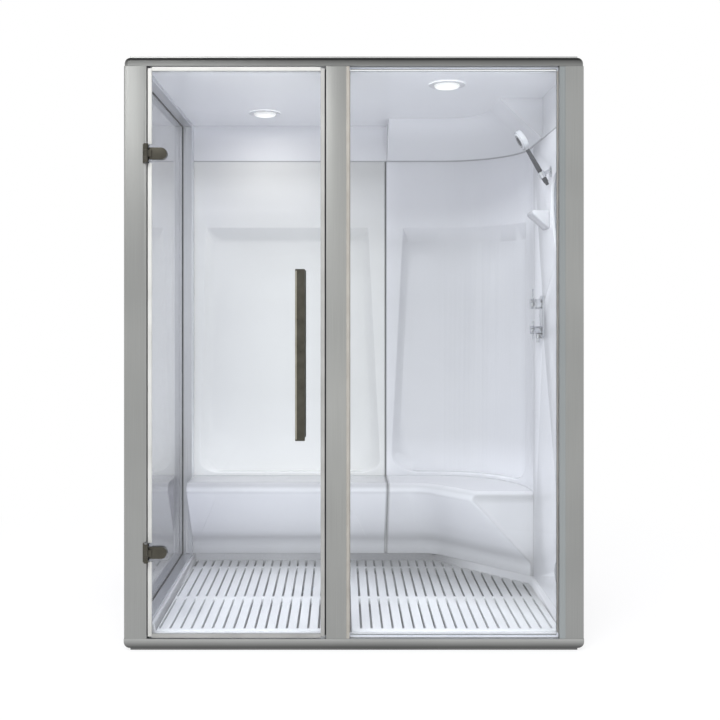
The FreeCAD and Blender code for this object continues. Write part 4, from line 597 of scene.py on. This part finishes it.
# %% Chromed head and dark grip
HANDLE_AXIS = Vector((-0.5, 0.0, 0.866))
HEAD_REACH = 0.044
TONE_STEP = 0.001
face_low, face_high = (Vector(corner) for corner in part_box("spray_face"))
spray_centre = (face_low + face_high) / 2
grip_end = HANDLE_AXIS.dot(spray_centre) - HEAD_REACH
two_tone_handset, tree, shader = start_material("two_tone_handset")
place = object_vector(tree)
along = vector_node(tree, "DOT_PRODUCT", place, HANDLE_AXIS)["Value"]
head = span(tree, along, grip_end - TONE_STEP, grip_end + TONE_STEP, 0.0, 1.0)
marks = place_group(tree, surface_marks, Vector=place, Cloud_Size=18.0, Skin_Size=800.0)
edges = place_group(tree, soft_edges, Radius=0.001)
grip = ramp(tree, marks["Cloud"], *CLOUDS, (0.035, 0.036, 0.042), (0.060, 0.062, 0.070))
chrome = ramp(tree, marks["Cloud"], *CLOUDS, (0.66, 0.67, 0.70), (0.80, 0.81, 0.83))
set_inputs(tree, shader, Base_Color=mixed(tree, head, grip, chrome),
           Roughness=span(tree, head, 0, 1, 0.45, 0.12), Metallic=span(tree, head, 0, 1, 0.0, 0.4))
add_bump(tree, shader, marks["Skin"], strength=0.2, distance=0.0004,
         Normal=edges["Normal"])
print(f"grip ends {grip_end:.3f} m along the handle")

# %% Pale spray plate with a dark middle
DARK_MIDDLE = (0.019, 0.021)
spray_plate, tree, shader = start_material("spray_plate")
place = object_vector(tree)
marks = place_group(tree, surface_marks, Vector=place, Cloud_Size=60.0, Skin_Size=900.0)
reach = vector_node(tree, "DISTANCE", place, spray_centre)["Value"]
set_inputs(tree, shader,
           Base_Color=ramp(tree, reach, *DARK_MIDDLE, (0.035, 0.035, 0.040), (0.62, 0.62, 0.64)),
           Roughness=span(tree, marks["Cloud"], *CLOUDS, 0.35, 0.5))
add_bump(tree, shader, marks["Skin"], strength=0.2, distance=0.0004)
print(f"spray plate centred on {tuple(spray_centre)}")

# %% [markdown]
# ## A finish for every node
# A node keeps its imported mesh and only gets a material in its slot. Names say which piece is
# which, so the table below reads like a parts list.

# %% Assign the finishes
FINISHES = {
    upright_aluminium: ["left_post"],
    right_post_aluminium: ["right_post"],
    mullion_aluminium: ["centre_mullion"],
    stile_aluminium: ["side_rear_stile"],
    sheet_aluminium: ["right_wall_sheet"],
    crosswise_aluminium: ["roof_strip"],
    top_rail_aluminium: ["top_rail"],
    low_rail_aluminium: ["bottom_rail"],
    sill_aluminium: ["base_sill"],
    inward_aluminium: ["side_bottom_channel", "side_top_channel"],
    pane_glass: ["fixed_glass", "door_glass"],
    side_pane: ["side_glass"],
    left_acrylic: ["back_panel_left"],
    tray_acrylic: ["shower_tray"],
    hood_acrylic: ["hood"],
    corner_acrylic: ["back_panel_corner"],
    side_acrylic: ["right_wall_panel"],
    bench_acrylic: ["bench_left"],
    corner_bench: ["bench_corner"],
    shelf_acrylic: ["soap_shelf"],
    ring_painted_highlight_and_shade: ["downlight_bezels"],
    left_board: ["floor_board_left"],
    right_board: ["floor_board_right"],
    milky_seal: ["door_hinge_seal", "door_top_seal"],
    seal_painted_shade: ["door_latch_seal", "door_sweep"],
    glazing_gasket: ["fixed_glass_gasket"],
    seam_rubber: ["side_glass_gasket", "back_seam_seal"],
    dark_rubber: ["hinge_pads"],
    chrome_painted_dark_edges: ["mixer_plate", "lever_handle", "cross_handle"],
    bright_chrome: ["bracket_base", "steam_head", "drain_grate"],
    chromed_plastic: ["bracket_cradle", "drain_body"],
    two_tone_handset: ["handset"],
    spray_plate: ["spray_face"],
    dark_bronze: ["lower_hinge_base", "lower_hinge_leaf", "lower_hinge_inner_plate",
                  "upper_hinge_base", "upper_hinge_leaf", "upper_hinge_inner_plate",
                  "outer_pull_bar", "inner_pull_bar", "pull_standoffs"],
    lit_lens: ["downlight_lenses"],
    plain_tin: ["downlight_cans"],
    sawn_timber: ["rear_frame"],
    plain_steel: ["lower_hinge_pin", "upper_hinge_pin", "hinge_bolts", "hinge_nuts"],
    cast_brass: ["mixer_body"],
}
for material, members in FINISHES.items():
    for member in members:
        nodes[member].data.materials.clear()
        nodes[member].data.materials.append(material)
left_bare = sorted(set(nodes) - {name for names in FINISHES.values() for name in names})
print(f"{len(FINISHES)} finishes, bare nodes: {left_bare}")

# %% [markdown]
# ## Softened pieces
# Solids from a CAD kernel have knife edges; formed acrylic, planed boards and tumbled metal don't.
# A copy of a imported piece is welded, its flat triangles are dissolved into whole faces, and a Bevel
# modifier rounds what is still sharp. The copy stands in for the node and rides on its body.

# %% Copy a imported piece
BODY_OF = {node: body for body, members in frame["record"]["behaviour"]["bodies"].items()
           for node in members}
WELD_REACH = 0.0001
FLAT_ANGLE = math.radians(0.6)


def only(piece):
    """Select one piece alone and make it active."""
    bpy.ops.object.select_all(action="DESELECT")
    piece.select_set(True)
    bpy.context.view_layer.objects.active = piece


def welded_copy(node, whole_faces=True):
    """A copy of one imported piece, welded and if asked joined into whole faces, in its place."""
    piece = bpy.data.objects.new(f"{node}_soft", nodes[node].data.copy())
    bpy.context.scene.collection.objects.link(piece)
    only(piece)
    bpy.ops.object.mode_set(mode="EDIT")
    bpy.ops.mesh.select_all(action="SELECT")
    bpy.ops.mesh.remove_doubles(threshold=WELD_REACH)
    if whole_faces:
        bpy.ops.mesh.dissolve_limited(angle_limit=FLAT_ANGLE)
    bpy.ops.object.mode_set(mode="OBJECT")
    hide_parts(node)
    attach(piece, BODY_OF[node])
    return piece


print(f"{len(BODY_OF)} nodes ride on {len(set(BODY_OF.values()))} bodies")

# %% Round every sharp edge
SHARP_ANGLE = math.radians(30)
SMOOTH_ANGLE = math.radians(35)


def round_sharp_edges(piece, width):
    """Round a piece's sharp edges with a Bevel modifier, apply it and shade the piece smooth."""
    rounding = piece.modifiers.new("rounding", "BEVEL")
    rounding.width = width
    rounding.segments = 3
    rounding.limit_method = "ANGLE"
    rounding.angle_limit = SHARP_ANGLE
    bpy.ops.object.modifier_apply(modifier=rounding.name)
    bpy.ops.object.shade_smooth_by_angle(angle=SMOOTH_ANGLE)


ROUNDINGS = {
    0.0030: ["floor_board_left", "floor_board_right"],
    0.0020: ["left_post", "centre_mullion", "right_post", "base_sill",
             "door_hinge_seal", "door_latch_seal", "door_top_seal", "door_sweep",
             "lower_hinge_base", "upper_hinge_base", "lower_hinge_inner_plate",
             "upper_hinge_inner_plate", "downlight_bezels", "mixer_plate", "lever_handle",
             "cross_handle", "bracket_base", "steam_head"],
    0.0035: ["outer_pull_bar", "inner_pull_bar", "lower_hinge_leaf", "upper_hinge_leaf"],
    0.0060: ["soap_shelf", "right_wall_panel"],
}
for width, members in ROUNDINGS.items():
    for member in members:
        piece = welded_copy(member)
        round_sharp_edges(piece, width)
        print(f"{piece.name}: {len(piece.data.polygons)} faces")

# %% [markdown]
# ## Grooves along the seams and rounded rails
# Formed panels turn back at a seam, so two of them meet in a soft groove, and the two long rails
# have a full round along one edge. Only those edges are rounded: each is found by the way the two
# faces beside it look, and the bevel operator works on that selection alone.


# %% Round chosen edges only
def pick(piece, kind, keep):
    """Select the points, edges or faces that a test keeps, and stay in edit mode."""
    bpy.ops.object.mode_set(mode="EDIT")
    bpy.ops.mesh.select_mode(type=kind)
    bpy.ops.mesh.select_all(action="DESELECT")
    bpy.ops.object.mode_set(mode="OBJECT")
    mesh = piece.data
    for part in {"VERT": mesh.vertices, "EDGE": mesh.edges, "FACE": mesh.polygons}[kind]:
        part.select = keep(part)
    bpy.ops.object.mode_set(mode="EDIT")


def round_edges(node, belongs, width, segments=4, whole_faces=False, smooth=SMOOTH_ANGLE):
    """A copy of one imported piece, rounded where a test on the two faces beside an edge says so."""
    piece = welded_copy(node, whole_faces)
    beside = {}
    for polygon in piece.data.polygons:
        for key in polygon.edge_keys:
            beside.setdefault(key, []).append(polygon)
    chosen = {key for key, sides in beside.items() if len(sides) == 2
              and (belongs(sides[0], sides[1]) or belongs(sides[1], sides[0]))}
    pick(piece, "EDGE", lambda edge: tuple(sorted(edge.vertices)) in chosen)
    bpy.ops.mesh.bevel(offset=width, segments=segments, affect="EDGES", clamp_overlap=True)
    bpy.ops.object.mode_set(mode="OBJECT")
    bpy.ops.object.shade_smooth_by_angle(angle=smooth)
    shading = piece.modifiers.new("shading", "WEIGHTED_NORMAL")
    shading.keep_sharp = True
    bpy.ops.object.modifier_apply(modifier=shading.name)
    print(f"{piece.name}: {len(chosen)} edges rounded, {len(piece.data.polygons)} faces")


print("chosen edges can be rounded")

# %% Grooves at the seam
SEAM_X = 0.168
SEAM_REACH = 0.002
SEAM_GROOVE = 0.005
SEAM_SMOOTH = math.radians(18)


def at_seam(end, front):
    """An edge between a panel's end at the seam and a face that looks into the room."""
    faces_room = front.normal.y < -0.2 or front.normal.z > 0.5
    return abs(end.normal.x) > 0.99 and abs(end.center.x - SEAM_X) < SEAM_REACH and faces_room


for member in ("back_panel_left", "back_panel_corner", "bench_left", "bench_corner"):
    round_edges(member, at_seam, SEAM_GROOVE, smooth=SEAM_SMOOTH)

# %% Rails with one full round
TOP_ROUND, LOW_ROUND = 0.016, 0.014
round_edges("top_rail", lambda top, front: front.normal.y < -0.9 and top.normal.z > 0.3,
            TOP_ROUND, segments=6, whole_faces=True)
round_edges("bottom_rail", lambda low, front: front.normal.y < -0.9 and low.normal.z < -0.3,
            LOW_ROUND, segments=6, whole_faces=True)

# %% [markdown]
# ## The tray's front rim
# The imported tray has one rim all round. Behind the sill the real one dips, so that the boards are
# seen right up to the frame. The rim is cut across close to both ends, and the run between the
# cuts moves down to just under the boards, with a steep ramp of a few millimetres at each end.

# %% Dip the front rim
DIP_LEFT, DIP_RIGHT, DIP_RAMP = -0.751, 0.798, 0.008
DIP_TOP = 0.046
RIM_BACK = -0.5075
DIP_SLACK = 0.001


def in_dip(vertex):
    """A point of the front rim between the cuts that stands above the dip."""
    x, y, z = vertex.co
    inside = DIP_LEFT + DIP_SLACK < x < DIP_RIGHT - DIP_SLACK
    return inside and y < RIM_BACK and z > DIP_TOP + DIP_SLACK


tray = welded_copy("shower_tray", whole_faces=False)
bpy.ops.object.mode_set(mode="EDIT")
for place in (DIP_LEFT, DIP_LEFT + DIP_RAMP, DIP_RIGHT - DIP_RAMP, DIP_RIGHT):
    bpy.ops.mesh.select_all(action="SELECT")
    bpy.ops.mesh.bisect(plane_co=(place, 0, 0), plane_no=(1, 0, 0))
pick(tray, "VERT", in_dip)
bpy.ops.transform.resize(value=(1, 1, 0), center_override=(0, 0, DIP_TOP))
bpy.ops.object.mode_set(mode="OBJECT")
bpy.ops.object.shade_smooth_by_angle(angle=SMOOTH_ANGLE)
print(f"front rim dips at {sum(vertex.select for vertex in tray.data.vertices)} points")

# %% [markdown]
# ## Gaskets and beads along the frame
# A dark strip behind each upright edge of the door closes its gap; its dark tone is painted shade
# in that gap. A bead covers the edge of the fixed pane's rebate on the right post and the mullion,
# a rib stiffens the rear stile, and a bright line runs down the pull. Each starts as a cube at its
# size, gets a shallow groove along its outer face, and has its edges rounded.


# %% One way to make a long strip
def long_strip(name, low, high, rounding):
    """A grooved upright strip between two corners."""
    low, high = Vector(low), Vector(high)
    bpy.ops.object.select_all(action="DESELECT")
    bpy.ops.mesh.primitive_cube_add(size=1, location=(low + high) / 2)
    piece = bpy.context.object
    piece.name = name
    piece.scale = high - low
    bpy.ops.object.transform_apply(location=True, rotation=False, scale=True)
    pick(piece, "FACE", lambda face: face.normal.y < -0.9)
    bpy.ops.mesh.inset(thickness=(high.x - low.x) * 0.3)
    bpy.ops.mesh.extrude_region_move(TRANSFORM_OT_translate={"value": (0, rounding * 0.5, 0)})
    bpy.ops.object.mode_set(mode="OBJECT")
    round_sharp_edges(piece, rounding)
    return piece


def set_on_body(piece, material, body):
    """Give a new piece its finish and the body that it moves with."""
    piece.data.materials.append(material)
    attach(piece, body)


print("strips can be made")

# %% The strips
# The strike and hinge-side gaskets are dark rubber placed as painted shade in the door's gaps.
STRIPS = (
    ("strike_gasket", "cabin", (-0.1085, -0.561, 0.052), (-0.103, -0.545, 2.152), seam_rubber,
     "dark_gasket", 0.0012),
    ("hinge_side_gasket", "cabin", (-0.766, -0.561, 0.052), (-0.7605, -0.545, 2.152), seam_rubber,
     "dark_gasket", 0.0012),
    ("right_post_bead", "cabin", (0.759, -0.5818, 0.046), (0.781, -0.580, 2.158), bead_aluminium,
     "brushed_aluminium", 0.0006),
    ("mullion_bead", "cabin", (-0.028, -0.5812, 0.046), (-0.016, -0.580, 2.158), brown_bead,
     "dark_gasket", 0.0005),
    ("stile_rib", "cabin", (-0.792, 0.459, 0.092), (-0.777, 0.465, 2.132), stile_aluminium,
     "brushed_aluminium", 0.002),
    ("pull_trim", "door", (-0.2145, -0.6346, 0.788), (-0.2085, -0.6335, 1.402), light_bronze,
     "dark_bronze", 0.0003),
)
for name, body, low, high, material, slot, rounding in STRIPS:
    piece = long_strip(name, low, high, rounding)
    set_on_body(piece, material, body)
    print(f"{name}: {len(piece.data.polygons)} faces")

# %% [markdown]
# ## Spray nozzles
# The spray face carries rings of soft rubber nozzles. One is a short cone whose tip is inset and
# pushed in to make its bore; copies of it stand on three rings.


# %% Join what repeats
def join_copies(copies, name):
    """Copies joined into one smooth piece that sits at the origin."""
    bpy.ops.object.select_all(action="DESELECT")
    for copy in copies:
        copy.select_set(True)
    bpy.context.view_layer.objects.active = copies[0]
    bpy.ops.object.join()
    piece = bpy.context.object
    piece.name = name
    bpy.ops.object.transform_apply(location=True, rotation=True, scale=True)
    bpy.ops.object.shade_smooth_by_angle(angle=SMOOTH_ANGLE)
    return piece


print("copies can be joined")

# %% One nozzle, then three rings of it
NOZZLE = {"vertices": 12, "radius1": 0.0018, "radius2": 0.0012, "depth": 0.0024}
NOZZLE_LIP, NOZZLE_BORE = 0.0004, 0.0012
NOZZLE_RINGS = ((0.008, 6), (0.0165, 12), (0.025, 18))
SPRAY_AXIS = Vector((-0.866, 0.0, -0.5))
SPRAY_LIFT = 0.0022
bpy.ops.object.select_all(action="DESELECT")
bpy.ops.mesh.primitive_cone_add(**NOZZLE)
nozzle = bpy.context.object
pick(nozzle, "FACE", lambda face: face.normal.z > 0.9)
bpy.ops.mesh.inset(thickness=NOZZLE_LIP)
bpy.ops.mesh.extrude_region_move(TRANSFORM_OT_translate={"value": (0, 0, -NOZZLE_BORE)})
bpy.ops.object.mode_set(mode="OBJECT")
turn = SPRAY_AXIS.to_track_quat("Z", "Y")
seat = spray_centre + SPRAY_AXIS * SPRAY_LIFT
copies = []
for radius, count in NOZZLE_RINGS:
    for step in range(count):
        angle = math.tau * step / count
        copy = bpy.data.objects.new("nozzle_copy", nozzle.data.copy())
        bpy.context.scene.collection.objects.link(copy)
        copy.rotation_euler = turn.to_euler()
        around = Vector((radius * math.cos(angle), radius * math.sin(angle), 0))
        copy.location = seat + turn @ around
        copies.append(copy)
set_on_body(join_copies(copies, "spray_nozzles"), nozzle_rubber, "hand_shower")
bpy.data.objects.remove(nozzle)
print(f"{len(copies)} nozzles")

# %% [markdown]
# ## Grip ribs on the lever's knob
# A wet hand needs something to turn. Fine ribs run along the knob: one bar with bevelled edges,
# set round the knob's axis.

# %% Ribs round the knob
KNOB_CENTRE = Vector((0.769, -0.095, 1.2825))
KNOB_RADIUS = 0.021
RIBS = 28
RIB_SIZE = (0.026, 0.0016, 0.0016)
RIB_BEVEL = 0.0006
RIB_SHIFT = 0.004
bars = []
for step in range(RIBS):
    angle = math.tau * step / RIBS
    bpy.ops.mesh.primitive_cube_add(size=1)
    bar = bpy.context.object
    bar.scale = RIB_SIZE
    bpy.ops.object.transform_apply(location=False, rotation=False, scale=True)
    bpy.ops.object.mode_set(mode="EDIT")
    bpy.ops.mesh.bevel(offset=RIB_BEVEL, segments=2)
    bpy.ops.object.mode_set(mode="OBJECT")
    bar.location = KNOB_CENTRE + Vector((RIB_SHIFT, math.cos(angle) * KNOB_RADIUS,
                                         math.sin(angle) * KNOB_RADIUS))
    bar.rotation_euler = (angle, 0, 0)
    bars.append(bar)
set_on_body(join_copies(bars, "lever_knob_ribs"), bright_chrome, "lever")
print(f"{RIBS} ribs")

# %% [markdown]
# ## Light, floor and background
# The picture is a plain studio cut-out: white all round, soft light from in front. The world is
# white wherever a camera, glossy or transmission ray meets it, and a dimmer cool white as light.
# Straight up, the studio's dark ceiling takes over for glossy rays, which draws the dark upper half
# of the rounded top rail. A wide soft lamp above the camera lights the room through its glass; no
# panel mirrors it. A small one to the upper left brightens that end of the frame, and each
# downlight has a lamp of its own.


# %% World
def seen_rays(tree):
    """A Light Path's outputs, and a one for the rays that see the background."""
    path = tree.nodes.new("ShaderNodeLightPath").outputs
    seen = path["Is Camera Ray"]
    for name in ("Is Glossy Ray", "Is Transmission Ray"):
        seen = math_node(tree, "MAXIMUM", seen, path[name])
    return path, seen


CEILING_SPAN = (0.45, 0.85)
CEILING_SHADE = 0.85
COOL_WHITE = (0.935, 0.935, 1.0, 1)
world = bpy.data.worlds.new("studio")
bpy.context.scene.world = world
world.use_nodes = True
tree = world.node_tree
path, seen = seen_rays(tree)
upward = add_node(tree, "ShaderNodeSeparateXYZ",
                  Vector=tree.nodes.new("ShaderNodeTexCoord").outputs["Generated"])
shade = span(tree, upward.outputs["Z"], *CEILING_SPAN, 0.0, CEILING_SHADE)
ceiling = math_node(tree, "MULTIPLY", shade, path["Is Glossy Ray"])
white = add_node(tree, "ShaderNodeBackground", Color=(1, 1, 1, 1),
                 Strength=span(tree, ceiling, 0, 1, 1, 0))
soft = add_node(tree, "ShaderNodeBackground", Color=COOL_WHITE, Strength=1.03)
output = tree.nodes.get("World Output") or tree.nodes.new("ShaderNodeOutputWorld")
mix_shaders(tree, seen, soft, white, output)
print("world ready")

# %% Floor
# Close to the room the floor's own shadow shows through the white; further out it is all white.
SHADOW_REACH = (1.0, 2.6)
SHADOW_WHITE = (0.80, 1.0)
bpy.ops.object.select_all(action="DESELECT")
bpy.ops.mesh.primitive_plane_add(size=24, location=(0, 0, 0))
floor = bpy.context.object
floor.name = "studio_floor"
floor_white, tree, shader = start_material("floor_white")
set_inputs(tree, shader, Base_Color=(0.92, 0.92, 0.92, 1), Roughness=0.9)
_, seen = seen_rays(tree)
reach = vector_node(tree, "LENGTH", object_vector(tree))["Value"]
share = math_node(tree, "MULTIPLY", seen, span(tree, reach, *SHADOW_REACH, *SHADOW_WHITE))
paper = add_node(tree, "ShaderNodeEmission", Color=(1, 1, 1, 1), Strength=1.0)
mix_shaders(tree, share, shader, paper, tree.nodes["Material Output"])
floor.data.materials.append(floor_white)
print("floor ready")


# %% Lamps
def add_lamp(name, shape, size, power, place, colour=(1, 1, 1), mirrored=False):
    """An area lamp that looks down, hidden from the camera and from glass."""
    data = bpy.data.lights.new(name, "AREA")
    data.shape = shape
    data.size, data.size_y = size
    data.energy = power
    data.color = colour
    lamp = bpy.data.objects.new(name, data)
    lamp.location = place
    lamp.visible_camera = False
    lamp.visible_transmission = False
    lamp.visible_glossy = mirrored
    bpy.context.scene.collection.objects.link(lamp)
    return lamp


def aim(lamp, target):
    """Turn a lamp towards a place."""
    lamp.rotation_euler = (Vector(target) - lamp.location).to_track_quat("-Z", "Y").to_euler()


softbox = add_lamp("upper_softbox", "RECTANGLE", size=(3.2, 1.0), power=196,
                   place=(-0.7, -4.4, 4.1))
aim(softbox, (0, 0, 1.0))
post_lamp = add_lamp("post_lamp", "RECTANGLE", size=(1.6, 0.6), power=15,
                     place=(-1.7, -3.6, 3.6), mirrored=True)
aim(post_lamp, (-0.6, -0.6, 2.0))
DOWNLIGHT_SIZE = (0.15, 0.15)
DOWNLIGHT_HEIGHT = 2.130
DOWNLIGHT_WHITE = (1.0, 0.98, 0.95)
for label, (x, y), power in zip(("left", "right"), LIGHTS, (1.2, 0.3)):
    add_lamp(f"{label}_downlight", "DISK", DOWNLIGHT_SIZE, power, (x, y, DOWNLIGHT_HEIGHT),
             DOWNLIGHT_WHITE)
print(f"{len(bpy.data.lights)} lamps")
